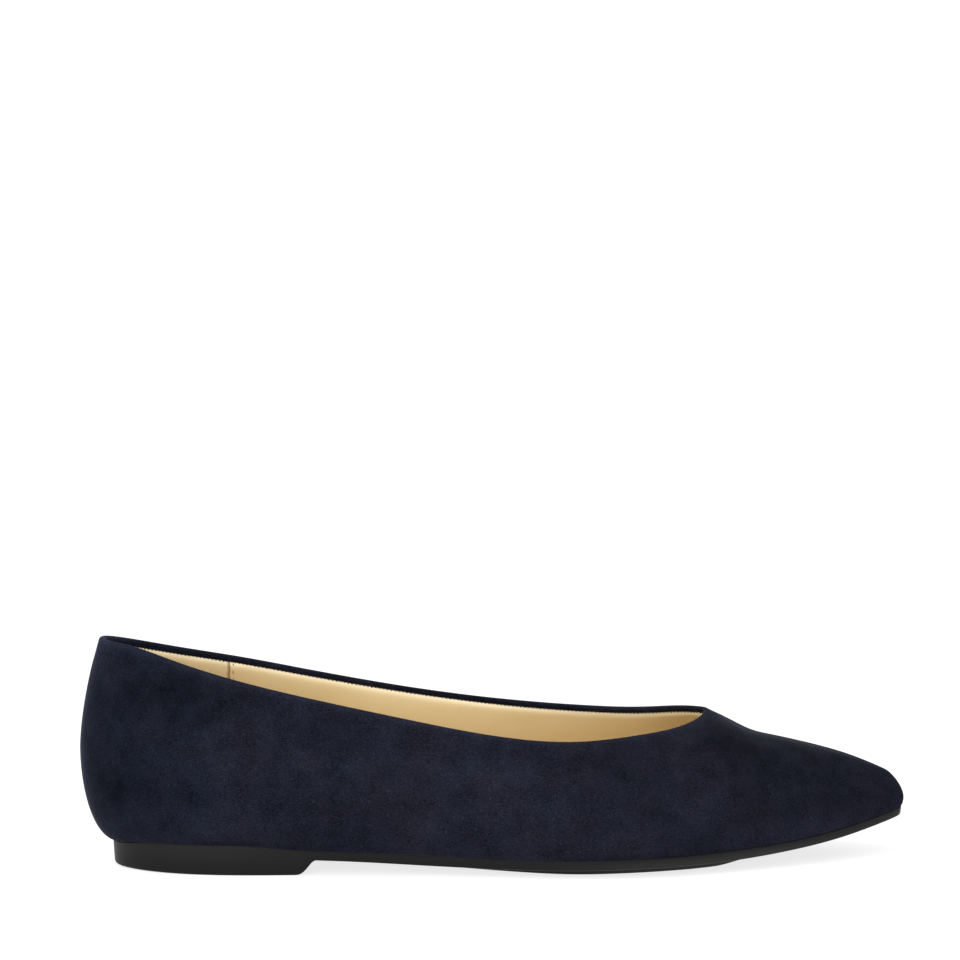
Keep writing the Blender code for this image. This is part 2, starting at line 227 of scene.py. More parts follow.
world = bpy.data.worlds.new("even_sky")
world.use_nodes = True
sky = world.node_tree.nodes["Background"]
sky.inputs["Color"].default_value = (1, 1, 1, 1)
sky.inputs["Strength"].default_value = SKY
bpy.context.scene.world = world
for name, (place, size, power) in LAMPS.items():
    softbox = bpy.data.lights.new(name, "AREA")
    softbox.size = size
    softbox.energy = power
    lamp = bpy.data.objects.new(name, softbox)
    bpy.context.scene.collection.objects.link(lamp)
    lamp.location = place
    lamp.rotation_mode = "QUATERNION"
    lamp.rotation_quaternion = (LAMP_AIM - Vector(place)).to_track_quat("-Z", "Y")
bpy.context.scene.view_settings.view_transform = "Standard"
print("lamps", list(LAMPS), "sky", SKY)

# %% [markdown]
# ## The last
# A shoe is shaped on a last, a foot-like block. Four lines run round it from the back of the heel to the
# toe and back: the margin under the foot, the feather edge where the upper meets the sole, the belly
# where the side stands out furthest, and the top line. The tables give each line at a few stations, in
# the same numbers as the solids. Lengths are in millimetres from the back of the heel, and widths and
# heights are shares of the driving sizes.

# %% Driving sizes
LENGTH, BALL_WIDTH, BACK_HEIGHT, INSTEP_HEIGHT = 256.0, 77.4, 71.0, 46.5
GAP = 0.3
FEATHER_BACK, FEATHER_TIP = 10.5, 254.4
COLLAR_BACK, RIDGE_TIP = 6.6, 247.0
MARGIN_BACK, MARGIN_TIP, MARGIN_WIDTH_SHARE = 17.0, 240.0, 0.78
APEX = 0.78
SHOULDER_POWER = 1.6


def table(names, rows):
    """A short table as named columns."""
    return dict(zip(names.split(), np.array(rows, float).T))


SECTIONS = table(
    "along sole_lateral sole_medial belly_lateral belly_medial belly_up fullness",
    [
        (0.000, 0.000, 0.000, 0.000, 0.000, 0.51, 0.0),
        (0.040, 0.205, 0.205, 0.225, 0.225, 0.48, 0.0),
        (0.100, 0.290, 0.290, 0.335, 0.335, 0.46, 0.0),
        (0.190, 0.325, 0.325, 0.390, 0.390, 0.42, 0.0),
        (0.290, 0.330, 0.310, 0.410, 0.395, 0.37, 0.0),
        (0.400, 0.360, 0.290, 0.430, 0.380, 0.31, 0.0),
        (0.500, 0.420, 0.335, 0.465, 0.420, 0.27, 0.0),
        (0.585, 0.465, 0.420, 0.500, 0.475, 0.24, 0.05),
        (0.655, 0.468, 0.460, 0.499, 0.500, 0.23, 0.15),
        (0.720, 0.433, 0.455, 0.460, 0.487, 0.23, 0.35),
        (0.780, 0.362, 0.415, 0.388, 0.445, 0.235, 0.5),
        (0.845, 0.271, 0.345, 0.292, 0.370, 0.25, 0.5),
        (0.905, 0.165, 0.262, 0.185, 0.282, 0.265, 0.5),
        (0.960, 0.052, 0.175, 0.068, 0.190, 0.26, 0.45),
        (1.000, -0.065, 0.065, -0.065, 0.065, 0.245, 0.25),
    ],
)
print("sections", len(SECTIONS["along"]), "widest", BALL_WIDTH, "mm")

# %% [markdown]
# The collar is higher on the inner side of the foot than on the outer one, so its two sides have columns
# of their own. The ridge is the middle of the vamp from the point of the throat to the toe. The seat is
# the top of the sole along its length, which rises at the heel and springs up at the toe, with the
# thickness of its edge beside it.

# %% Collar
COLLAR = table(
    "along lateral medial up_lateral up_medial",
    [
        (0.000, 0.000, 0.000, 1.000, 1.000),
        (0.015, 0.095, 0.095, 0.990, 0.988),
        (0.050, 0.172, 0.172, 0.974, 0.957),
        (0.105, 0.248, 0.248, 0.919, 0.911),
        (0.180, 0.305, 0.305, 0.846, 0.858),
        (0.270, 0.335, 0.333, 0.772, 0.793),
        (0.380, 0.352, 0.346, 0.690, 0.721),
        (0.500, 0.360, 0.340, 0.608, 0.662),
        (0.600, 0.345, 0.312, 0.572, 0.632),
        (0.680, 0.280, 0.258, 0.584, 0.626),
        (0.740, 0.172, 0.180, 0.606, 0.645),
        (0.768, 0.070, 0.108, 0.628, 0.654),
        (0.780, -0.040, 0.040, INSTEP_HEIGHT / BACK_HEIGHT, INSTEP_HEIGHT / BACK_HEIGHT),
    ],
)
print("collar stations", len(COLLAR["along"]), "from", BACK_HEIGHT, "to", INSTEP_HEIGHT, "mm up")

# %% Ridge and seat
RIDGE = table(
    "along medial up",
    [
        (0.780, 0.040, 1.000),
        (0.800, 0.040, 0.942),
        (0.825, 0.041, 0.864),
        (0.860, 0.043, 0.807),
        (0.910, 0.048, 0.745),
        (0.960, 0.056, 0.666),
        (1.000, 0.065, 0.578),
    ],
)
SEAT = table(
    "along up_mm edge_mm",
    [
        (0.00, 6.9, 2.2),
        (0.04, 7.3, 2.2),
        (0.08, 8.7, 2.2),
        (0.13, 9.0, 2.2),
        (0.20, 8.9, 2.4),
        (0.26, 7.7, 2.7),
        (0.32, 6.7, 2.5),
        (0.42, 6.0, 3.0),
        (0.53, 5.0, 2.6),
        (0.60, 5.1, 2.7),
        (0.71, 5.7, 2.7),
        (0.80, 6.6, 2.8),
        (0.86, 7.6, 2.5),
        (0.93, 9.9, 2.4),
        (1.00, 13.8, 2.2),
    ],
)
print("ridge stations", len(RIDGE["along"]), "seat stations", len(SEAT["along"]))

# %% [markdown]
# Between the stations each line is a natural cubic, the curve that a thin batten takes when it is held at
# those points. A place on a line is given by a turn: 0 at the back of the heel, pi at the toe, and on
# round to the back again, so one number runs all the way round the shoe with no corner at either end.

# %% Batten curve
def spline(keys, values, at):
    """Natural cubic through (keys, values), read at the given places."""
    step = np.diff(keys)
    slope = np.diff(values) / step
    count = len(keys)
    system = np.eye(count)
    bend = np.zeros(count)
    for i in range(1, count - 1):
        system[i, i - 1 : i + 2] = step[i - 1], 2 * (step[i - 1] + step[i]), step[i]
        bend[i] = 6 * (slope[i] - slope[i - 1])
    bend = np.linalg.solve(system, bend)
    at = np.asarray(at, float)
    i = np.clip(np.searchsorted(keys, at) - 1, 0, count - 2)
    after, before, span = at - keys[i], keys[i + 1] - at, step[i]
    curved = (bend[i] * before**3 + bend[i + 1] * after**3) / (6 * span)
    left = (values[i] / span - bend[i] * span / 6) * before
    right = (values[i + 1] / span - bend[i + 1] * span / 6) * after
    return curved + left + right


print("a batten through 0, 1, 0, read half way:", spline(np.arange(3.0), np.array([0.0, 1.0, 0.0]), 0.5))

# %% Turns round the last
def turn_of(share):
    return np.arccos(np.clip(1 - 2 * np.asarray(share, float), -1, 1))


def share_of(turn):
    return (1 - np.cos(turn)) / 2


def round_last(lateral, medial, turn):
    """A value that runs round the whole last, from its lateral and medial columns."""
    keys = turn_of(SECTIONS["along"])
    loop_keys = np.concatenate([keys, 2 * math.pi - keys[-2:0:-1]])
    loop_values = np.concatenate([lateral, medial[-2:0:-1]])
    whole = 2 * math.pi
    keys = np.concatenate([loop_keys - whole, loop_keys, loop_keys + whole])
    return spline(keys, np.tile(loop_values, 3), turn)


def line_of(turn, back, tip, lateral, medial):
    """Plan of one line of the last: distance along, and the side offset."""
    along = back + share_of(turn) * (tip - back)
    side = round_last(-SECTIONS[lateral], SECTIONS[medial], turn) * BALL_WIDTH
    return along, side


def seat_height(along):
    return spline(SEAT["along"], SEAT["up_mm"], np.asarray(along) / FEATHER_TIP)


def smooth_step(value, start, end):
    share = np.clip((value - start) / (end - start), 0, 1)
    return share * share * (3 - 2 * share)


APEX_TURN = float(turn_of(APEX))
print("the throat ends at turn", round(APEX_TURN, 3))
print("sole seat at the toe", float(seat_height(FEATHER_TIP)), "mm")

# %% [markdown]
# Each of the four lines is now a function of the turn. Functions are used and not lists of points,
# because the suede, the lining, the stitches and the sole all need the same line at places of their own.

# %% Feather, margin, belly and collar
def feather_line(turn):
    along, side = line_of(turn, FEATHER_BACK, FEATHER_TIP, "sole_lateral", "sole_medial")
    return np.stack([along, side, seat_height(along) + GAP], axis=-1)


def margin_line(turn):
    along, side = line_of(turn, MARGIN_BACK, MARGIN_TIP, "sole_lateral", "sole_medial")
    return np.stack([along, side * MARGIN_WIDTH_SHARE, seat_height(along) + GAP], axis=-1)


def belly_line(turn):
    along, side = line_of(turn, 0.0, LENGTH, "belly_lateral", "belly_medial")
    up = round_last(SECTIONS["belly_up"], SECTIONS["belly_up"], turn) * BACK_HEIGHT
    return np.stack([along, side, up], axis=-1)


def signed(turn):
    """Turns past the toe counted back from the heel, so that the collar is one run from side to side."""
    return np.where(turn > math.pi, turn - 2 * math.pi, turn)


def collar_key(turn):
    """Place on the collar that moves evenly round the end of the throat."""
    return np.arcsin(np.clip(turn / APEX_TURN, -1, 1))


def collar_line(turn):
    """The crest of the collar."""
    turn = signed(turn)
    along = COLLAR_BACK + share_of(turn) * (RIDGE_TIP - COLLAR_BACK)
    keys = collar_key(turn_of(COLLAR["along"]))
    keys = np.concatenate([-keys[:0:-1], keys])
    width = np.concatenate([COLLAR["medial"][:0:-1], -COLLAR["lateral"]]) * BALL_WIDTH
    height = np.concatenate([COLLAR["up_medial"][:0:-1], COLLAR["up_lateral"]]) * BACK_HEIGHT
    place = collar_key(turn)
    return np.stack([along, spline(keys, width, place), spline(keys, height, place)], axis=-1)


belly_sides = belly_line(np.linspace(0, 2 * math.pi, 721))[:, 1]
MIDDLE = np.array([LENGTH / 2, (belly_sides.min() + belly_sides.max()) / 2, 0])
print("middle of the shoe", MIDDLE.round(2))

# %% [markdown]
# ## Suede upper
# The upper is thin suede stretched over the last. At the top it is turned over and glued down inside, so
# the collar is a soft roll about 2 mm thick with a narrow suede band showing on the inside. A flat rim
# would look cut with a knife, so the roll is built as a half circle on the edge, and the surface below it
# stops one roll short of the crest. At the point of the throat the two rolls meet in a mitre, as two
# mouldings do in a corner.

# %% Directions at the edge
ROLL, HEEL_ROLL = 0.9, 1.15
HEEL_ROLL_TURN, ROLL_TURN = 0.3, 1.3
THROAT_START = 0.84
NUDGE, RIDGE_NUDGE = 0.001, 0.01


def unit(vectors):
    return vectors / np.maximum(np.linalg.norm(vectors, axis=-1, keepdims=True), 1e-12)


def ridge_line(share):
    """The middle line of the vamp, by share of the way from the back of the collar to the toe."""
    along = COLLAR_BACK + share * (RIDGE_TIP - COLLAR_BACK)
    side = spline(RIDGE["along"], RIDGE["medial"], share) * BALL_WIDTH
    return np.stack([along, side, spline(RIDGE["along"], RIDGE["up"], share) * INSTEP_HEIGHT], axis=-1)


def fullness_at(turn):
    return round_last(SECTIONS["fullness"], SECTIONS["fullness"], turn % (2 * math.pi))


def throat_share(turn):
    """0 along the sides of the collar, rising to 1 at the point of the throat."""
    return smooth_step(np.abs(signed(turn)), THROAT_START * APEX_TURN, APEX_TURN)[:, None]


def roll_at(turn):
    """Radius of the collar's roll, fuller at the back, where the ends of the seam are folded in."""
    sideways = smooth_step(np.abs(signed(turn)), HEEL_ROLL_TURN, ROLL_TURN)
    return (HEEL_ROLL + (ROLL - HEEL_ROLL) * sideways)[:, None]


print("radius of the roll at the back and at the side", roll_at(np.array([0.0, 1.5])).ravel().tolist())

# %% The collar's own directions
def collar_frame(turn):
    """Along the collar, up past its edge, and outwards. The two sides meet in a mitre at the throat."""
    turn = signed(turn)
    near = np.clip(turn, -APEX_TURN + 2 * NUDGE, APEX_TURN - 2 * NUDGE)
    run = unit(collar_line(near + NUDGE) - collar_line(near - NUDGE))
    rise = collar_line(near) - belly_line(near % (2 * math.pi))
    full = fullness_at(near)[:, None]
    rise[:, :2] *= SHOULDER_POWER * (1 - full) + math.pi / 2 * full
    rise[:, 2:] *= 1 - full
    up = unit(rise - (rise * run).sum(axis=1, keepdims=True) * run)
    back = unit(ridge_line(np.array([APEX])) - ridge_line(np.array([APEX + RIDGE_NUDGE])))
    throat = unit(back - (back * run).sum(axis=1, keepdims=True) * run)
    up = unit(up + (throat - up) * throat_share(turn))
    out = unit(np.cross(run, up))
    mitre = np.abs(turn) > APEX_TURN - 1e-6
    up[mitre] = back / (up[mitre] * back).sum(axis=1, keepdims=True)
    over = np.cross([0, 1, 0], back)
    out[mitre] = over * np.sign(over[:, 2:])
    return run, up, out


frames = collar_frame(np.array([-2.0, -1.0, 0.0, 1.0, 2.0, APEX_TURN]))
print("outwards round the collar", frames[2].round(2).tolist())

# %% [markdown]
# The side of the upper is lofted: for each turn, a column of points goes from the margin under the foot
# out to the feather edge, round the tuck to the belly, and over the shoulder to the top line. The vamp is
# rounded at its crest, so the two sides flow into each other in front of the throat. A sculpted mesh
# could do the same by hand, but a loft keeps to the sizes of the solids and can be read again at any
# place.

# %% Top line
RIDGE_GAP = 1.05
RIDGE_START = APEX + RIDGE_GAP * ROLL / (RIDGE_TIP - COLLAR_BACK)


def top_line(turn):
    """Where the outside of the suede ends: under the roll of the collar, then along the ridge of the vamp."""
    share = share_of(turn)
    on_ridge = share > APEX - 1e-9
    ridge_share = RIDGE_START + (share - APEX) / (1 - APEX) * (1 - RIDGE_START)
    collar_turn = np.where(on_ridge, 0.0, turn)
    _, up, out = collar_frame(collar_turn)
    roll = roll_at(collar_turn)
    edge = collar_line(collar_turn) - roll * up
    edge[:, 2:] += roll * (up[:, 2:] + out[:, 2:] - 1) * (1 - throat_share(collar_turn))
    return np.where(on_ridge[:, None], ridge_line(ridge_share), edge)


print("the ridge starts at", round(RIDGE_START, 4), "of the way to the toe")

# %% [markdown]
# The shoulder is nearly straight at the heel and full and round over the vamp. Where the collar turns
# into the ridge the top line has a corner, and a plain loft would carry it down the side as a crease.
# Stretched suede would not keep it, so near the throat the columns are eased towards the average of their
# neighbours, and only the edge stays sharp.

# %% Shoulder and throat
CREST_BAND = 0.4
EASE_TURN, EASE_POINTS, EASE_POWER = 0.11, 40, 8


def shoulder(step, fullness, crest):
    """How far in and how far up the shoulder has come, for a step from the belly (0) to the top line (1)."""
    straight = step**SHOULDER_POWER
    inward = straight + (1 - np.cos(step * math.pi / 2) - straight) * fullness
    upward = step + (np.sin(step * math.pi / 2) - step) * fullness
    dip = crest * (1 - fullness) * CREST_BAND / 2
    over = np.clip((step - 1 + CREST_BAND) / CREST_BAND, 0, 1)
    return inward, (upward - dip * over**2) / (1 - dip)


def throat_ease(turn):
    """How far the sides near the point of the throat are eased from the top line towards its average."""
    offsets = EASE_TURN * np.linspace(-1, 1, EASE_POINTS + 2)[1:-1]
    weights = 1 + np.cos(offsets / EASE_TURN * math.pi)
    shifted = (weight * top_line(turn + offset) for offset, weight in zip(offsets, weights))
    average = sum(shifted) / weights.sum()
    near = np.exp(-(((np.abs(signed(turn)) - APEX_TURN) / (2 * EASE_TURN)) ** 2))
    return (average - top_line(turn)) * near[:, None]


print("easing under the throat", throat_ease(np.array([APEX_TURN])).round(2).tolist(), "mm")

# %% Surface of the upper
CREST_SPAN = (0.68, 0.83)


def surface(turn, level):
    """Outside of the upper: level 0 is the margin, 1 the feather edge, 2 the belly and 3 the top line."""
    margin, feather = margin_line(turn)[:, None], feather_line(turn)[:, None]
    level = np.broadcast_to(level, (len(turn), np.shape(level)[-1]))
    eased = throat_ease(turn)[:, None] * (1 - np.clip(level - 2, 0, 1) ** EASE_POWER)[..., None]
    belly, top = belly_line(turn)[:, None], top_line(turn)[:, None] + eased
    under = margin + (feather - margin) * np.clip(level, 0, 1)[..., None]
    under[..., 2] = seat_height(under[..., 0]) + GAP
    tuck = np.clip(level - 1, 0, 1) * math.pi / 2
    round_tuck = feather + (belly - feather) * np.sin(tuck)[..., None]
    round_tuck[..., 2] = feather[..., 2] + (belly - feather)[..., 2] * (1 - np.cos(tuck))
    crest = smooth_step(share_of(turn), *CREST_SPAN)[:, None]
    inward, upward = shoulder(np.clip(level - 2, 0, 1), fullness_at(turn)[:, None], crest)
    over = belly + (top - belly) * inward[..., None]
    over[..., 2] = belly[..., 2] + (top - belly)[..., 2] * upward
    return np.where((level < 1)[..., None], under, np.where((level < 2)[..., None], round_tuck, over))


def outward(points, turn, closed=True):
    """Outward direction at each point of a grid of columns. On the ridge both sides share one direction."""
    if closed:
        along = np.roll(points, -1, axis=0) - np.roll(points, 1, axis=0)
        mirror = -np.arange(len(turn))
    else:
        along = np.gradient(points, axis=0)
        mirror = -1 - np.arange(len(turn))
    out = unit(np.cross(along, np.gradient(points, axis=1)))
    lost = np.linalg.norm(out[:, 1:], axis=-1) < 0.5
    out[:, 1:][lost] = out[:, :-1][lost]
    ridge = share_of(turn) > APEX - 1e-9
    both = unit(out[:, -1] + out[mirror, -1])
    out[ridge, -1] = both[ridge]
    return out


probe = surface(np.array([0.0, 1.2, 2.4, math.pi]), np.array([1.0, 2.0, 3.0]))
print("feather, belly and top at four turns", probe.round(1).tolist())

# %% [markdown]
# Suede on a last is never quite even. It dips a little where the counter behind the heel ends, over the
# hollow of the waist, and where the vamp will flex. These are soft troughs a fraction of a millimetre
# deep, put where the picture shows the shade change. The table gives their middle, their half
# sizes, their lean and their depth.

# %% Soft troughs
TROUGHS = table(
    "along up side half_along half_up lean depth",
    [
        (66.0, 34.0, -1, 5.0, 17.0, 0.18, 0.28),
        (64.0, 34.0, 1, 5.0, 17.0, 0.18, 0.28),
        (104.0, 30.0, -1, 22.0, 11.0, 0.0, 0.45),
        (100.0, 31.0, 1, 22.0, 11.0, 0.0, 0.55),
        (146.0, 24.0, -1, 6.0, 11.0, -0.5, 0.22),
        (162.0, 22.0, -1, 5.0, 12.0, -0.6, 0.26),
        (150.0, 24.0, 1, 6.0, 12.0, -0.5, 0.26),
        (205.0, 33.0, -1, 5.5, 9.0, 0.7, 0.22),
        (205.0, 33.0, 1, 5.5, 9.0, 0.7, 0.22),
        (222.0, 24.0, -1, 8.0, 7.0, 0.4, -0.2),
        (34.0, 45.0, -1, 14.0, 9.0, 0.2, -0.22),
        (34.0, 45.0, 1, 14.0, 9.0, 0.2, -0.22),
    ],
)
print("troughs", len(TROUGHS["along"]), "deepest", TROUGHS["depth"].max(), "mm")

# %% How far the suede is pressed in
TROUGH_SIDE = (2, 8)
BACK_SEAM_HALF, BACK_SEAM_DEPTH = 0.55, 0.34
BACK_RIM_SHARE, BACK_RIM_OUT, BACK_RIM_SPREAD = 0.5, 1.3, 0.4
BACK_SEAM_REACH, BACK_SEAM_FOOT, BACK_SEAM_FADE = 25, 8, (61, 68)


def rows_of(columns):
    """The rows of a table, one at a time, with their columns' names."""
    for values in zip(*columns.values()):
        yield dict(zip(columns, values))


def closeness(row, along, up):
    """1 at the middle of a soft spot, falling to 0 round it."""
    length = (along - row["along"] - row["lean"] * (up - row["up"])) / row["half_along"]
    return np.exp(-(length**2) - ((up - row["up"]) / row["half_up"]) ** 2)


def trough_depth(points):
    """How far each point is pressed in by the troughs and by the closed seam down the back."""
    along, side, up = points[..., 0], points[..., 1], points[..., 2]
    depth = np.zeros(along.shape)
    for row in rows_of(TROUGHS):
        depth += row["depth"] * closeness(row, along, up) * smooth_step(side * row["side"], *TROUGH_SIDE)
    rim = np.exp(-((np.abs(side) - BACK_RIM_OUT) ** 2) / BACK_RIM_SPREAD)
    seam = np.exp(-((side / BACK_SEAM_HALF) ** 2)) - BACK_RIM_SHARE * rim
    at_back = (along < BACK_SEAM_REACH) * (up > BACK_SEAM_FOOT)
    return depth + BACK_SEAM_DEPTH * seam * at_back * (1 - smooth_step(up, *BACK_SEAM_FADE))


print("the back seam is pressed in", trough_depth(np.array([[0.0, 0.0, 40.0]])).round(2).tolist(), "mm")

# %% [markdown]
# The nap is uneven too. Where a hand has brushed it back it looks darker, and where it stands up or has
# been rubbed it looks paler. A noise alone would scatter such rubs anywhere, so the larger ones are
# listed one by one, in millimetres from the back of the heel and up from the floor, with their half sizes,
# their lean and how pale or dark they are. The finish later adds the fine fibres.

# %% Rubs in the nap
RUBS = table(
    "along up half_along half_up lean tone",
    [
        (36.0, 56.0, 13.0, 8.0, 0.0, -0.26),
        (16.0, 53.0, 4.0, 5.0, 0.0, -0.16),
        (56.0, 55.0, 7.0, 5.0, 0.0, -0.18),
        (41.0, 50.0, 4.0, 4.0, 0.0, -0.12),
        (12.0, 26.0, 5.0, 6.0, -0.3, -0.22),
        (38.0, 62.0, 4.0, 3.0, 0.0, -0.14),
        (79.0, 45.5, 7.0, 4.5, 0.0, -0.19),
        (90.0, 15.0, 12.0, 5.0, 0.6, -0.13),
        (133.0, 37.0, 10.0, 4.5, 0.0, -0.14),
        (158.0, 37.0, 10.0, 4.0, 0.0, -0.12),
        (166.0, 35.0, 4.0, 5.0, 0.0, -0.22),
        (177.0, 25.0, 6.0, 6.0, 0.0, -0.18),
        (182.0, 35.0, 4.0, 3.5, 0.0, -0.14),
        (112.0, 12.0, 14.0, 6.0, 0.0, 0.10),
        (163.0, 28.0, 11.0, 5.0, 0.0, -0.10),
        (197.0, 39.0, 7.0, 4.0, 0.0, -0.20),
        (202.0, 32.0, 7.0, 7.0, 0.3, -0.14),
        (20.0, 45.0, 6.0, 5.0, 0.0, 0.14),
        (25.0, 35.0, 6.0, 5.0, 0.0, 0.10),
        (17.0, 20.0, 6.0, 5.0, 0.0, 0.16),
        (42.0, 15.0, 14.0, 3.5, 0.0, 0.14),
        (47.0, 30.0, 6.0, 12.0, 0.0, 0.13),
        (70.0, 36.0, 5.0, 4.0, 0.0, 0.13),
        (114.0, 34.0, 7.0, 4.0, 0.0, 0.12),
        (125.0, 32.0, 9.0, 4.0, 0.0, 0.14),
        (139.0, 30.0, 8.0, 4.0, 0.0, 0.17),
        (127.0, 21.0, 16.0, 8.0, 0.0, 0.10),
        (182.0, 30.0, 4.0, 9.0, 0.2, 0.14),
        (194.0, 25.0, 6.0, 8.0, 0.2, 0.22),
        (179.0, 44.0, 14.0, 2.5, 0.0, 0.18),
        (166.0, 12.0, 10.0, 4.0, 0.0, 0.12),
        (11.0, 13.0, 6.0, 4.0, 0.0, 0.16),
        (215.0, 9.0, 11.0, 4.0, 0.0, 0.22),
        (232.0, 12.0, 10.0, 4.0, 0.0, 0.34),
        (240.0, 26.0, 7.0, 4.0, 0.0, 0.14),
    ],
)
print("rubs", len(RUBS["along"]), "darkest", RUBS["tone"].min(), "palest", RUBS["tone"].max())

# %% [markdown]
# To these come broad painted shade and painted highlight: painted shade darkens the heel and the vamp,
# most of all the top of the vamp, a painted highlight runs down the back seam, most of all at its two
# ends, and a painted shadow lines the crevice where the suede is tucked in over the sole. Each span gives
# where a tone begins and where it is full. The inner side has its rubs a little further back.

# %% Nap, painted shade and painted highlight over the whole upper
INNER_SHIFT, INNER_SPAN = 9.0, (0, 20)
TOE_PALE, TOE_SPAN = 0.02, (223, 248)
HEEL_PAINTED_SHADE, HEEL_SPAN = 0.16, (13, 53)
VAMP_PAINTED_SHADE, VAMP_SPAN = 0.09, (168, 213)
VAMP_TOP_PAINTED_SHADE, VAMP_TOP_SPAN = 0.10, (12, 26)
TUCKED_IN = ((26.0, 92.0), (148.0, 208.0))
TUCKED_PAINTED_SHADOW, TUCKED_FADE, TUCKED_SPAN = 0.14, 18, (0.7, 2.8)
BACK_PAINTED_HIGHLIGHT, BACK_HALF, BACK_SPAN = 0.3, 6, (20, 35)
BACK_WIDE_HIGHLIGHT, BACK_WIDE_HALF = 0.15, 8
BACK_TOP_HIGHLIGHT, BACK_TOP_SPAN = 0.5, (46, 66)
BACK_LOW_HIGHLIGHT, BACK_LOW_SPAN = 0.4, (13, 22)


def back_painted_highlight(side, up):
    """A painted highlight down the back seam, strongest at its two ends, where the rim of the heel catches
    the light.
    """
    wide = BACK_WIDE_HIGHLIGHT + BACK_TOP_HIGHLIGHT * smooth_step(up, *BACK_TOP_SPAN)
    wide = wide + BACK_LOW_HIGHLIGHT * (1 - smooth_step(up, *BACK_LOW_SPAN))
    return BACK_PAINTED_HIGHLIGHT * np.exp(-((side / BACK_HALF) ** 2)) + wide * np.exp(-((side / BACK_WIDE_HALF) ** 2))


def nap_and_painted_light(points):
    """How much paler or darker the nap lies at each point, with painted shade and painted highlight added."""
    side, up = points[..., 1], points[..., 2]
    along = points[..., 0] + INNER_SHIFT * smooth_step(side, *INNER_SPAN)
    # painted shade: darker round the heel and over the vamp, most of all on the top of the vamp
    tone = TOE_PALE * smooth_step(along, *TOE_SPAN) - HEEL_PAINTED_SHADE * (1 - smooth_step(along, *HEEL_SPAN))
    vamp_shade = VAMP_PAINTED_SHADE + VAMP_TOP_PAINTED_SHADE * smooth_step(up, *VAMP_TOP_SPAN)
    tone -= smooth_step(along, *VAMP_SPAN) * vamp_shade
    for row in rows_of(RUBS):
        tone += row["tone"] * closeness(row, along, up)
    # painted shadow in the crevice just above the sole, where the suede is tucked in
    over_sole = 1 - smooth_step(up - seat_height(along), *TUCKED_SPAN)
    for start, end in TUCKED_IN:
        begun = smooth_step(along, start, start + TUCKED_FADE)
        tone -= TUCKED_PAINTED_SHADOW * over_sole * begun * (1 - smooth_step(along, end - TUCKED_FADE, end))
    # painted highlight down the back seam of the heel
    return tone + back_painted_highlight(side, up) * (1 - smooth_step(points[..., 0], *BACK_SPAN))


print("nap at the back of the heel", nap_and_painted_light(np.array([[0.0, 0.0, 40.0]])).round(2).tolist())

# %% [markdown]
# `make_piece` turns a grid into a Blender object. Points that fall together are welded, faces that lose a
# side by it become triangles or go, and numbers that a finish needs, such as the distance from the edge,
# are kept on the points.

# %% Faces and welds
WELD_DIGITS = 3


def grid_faces(columns, levels, closed):
    faces = []
    for j in range(columns if closed else columns - 1):
        n = (j + 1) % columns
        for k in range(levels - 1):
            faces.append((j * levels + k, n * levels + k, n * levels + k + 1, j * levels + k + 1))
    return faces


def weld(points, faces):
    """Joins points that fall together, and returns which points are kept and the faces on them."""
    _, first, index = np.unique(np.round(points, WELD_DIGITS), axis=0, return_index=True, return_inverse=True)
    index = index.reshape(-1)
    kept = []
    for face in faces:
        corners = [index[i] for i in face]
        ring = [c for i, c in enumerate(corners) if c != corners[i - 1]]
        if len(set(ring)) > 2:
            kept.append(ring)
    return first, kept


print("a grid of 4 by 3 points has", len(grid_faces(4, 3, False)), "faces")

# %% Make a piece
def make_piece(name, points, faces, marks=None):
    """An object on the frame from points in millimetres, with named numbers on its points."""
    first, kept = weld(points, faces)
    mesh = bpy.data.meshes.new(name)
    mesh.from_pydata(((points[first] - MIDDLE) * MM).tolist(), [], kept)
    for mark, values in (marks or {}).items():
        layer = mesh.attributes.new(mark, "FLOAT", "POINT")
        layer.data.foreach_set("value", np.asarray(values, np.float32)[first])
    mesh.shade_smooth()
    piece = bpy.data.objects.new(name, mesh)
    bpy.context.scene.collection.objects.link(piece)
    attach(piece, "root")
    return piece


def thicken(piece, thickness):
    """Gives a sheet its thickness, on the side away from its faces."""
    wall = piece.modifiers.new("thickness", "SOLIDIFY")
    wall.thickness = thickness * MM
    wall.offset = -1


print("piece maker ready")

# %% [markdown]
# Now the suede itself. The columns stand closer together at the back seam and towards the throat, where
# the shape changes fast. The fold goes over the edge of each column: half a circle for the roll, then the
# short band that is glued down inside. Three numbers are kept on the points for the finish: how near the
# edge a point is, for paler nap and a painted highlight, how far inside the fold, for painted shade, and
# how the nap lies, with painted shade and painted highlight added. The sheet then gets its thickness from
# a Solidify modifier.

# %% Fold of the collar
BAND, HEEL_BAND = 0.7, 0.85
HEEL_BAND_TURN, BAND_TURN = 0.9, 1.5
ROLL_LEVELS, BAND_LEVELS = 11, 3
INSIDE_ANGLES = (1.2, 2.6)
HEEL_BAND_SHADE, HEEL_BAND_SHADE_SPAN = 0.6, (50, 95)


def band_at(turn):
    """Width of the band below the roll, inside the collar."""
    sideways = smooth_step(np.abs(signed(turn)), HEEL_BAND_TURN, BAND_TURN)
    return (HEEL_BAND + (BAND - HEEL_BAND) * sideways)[:, None]


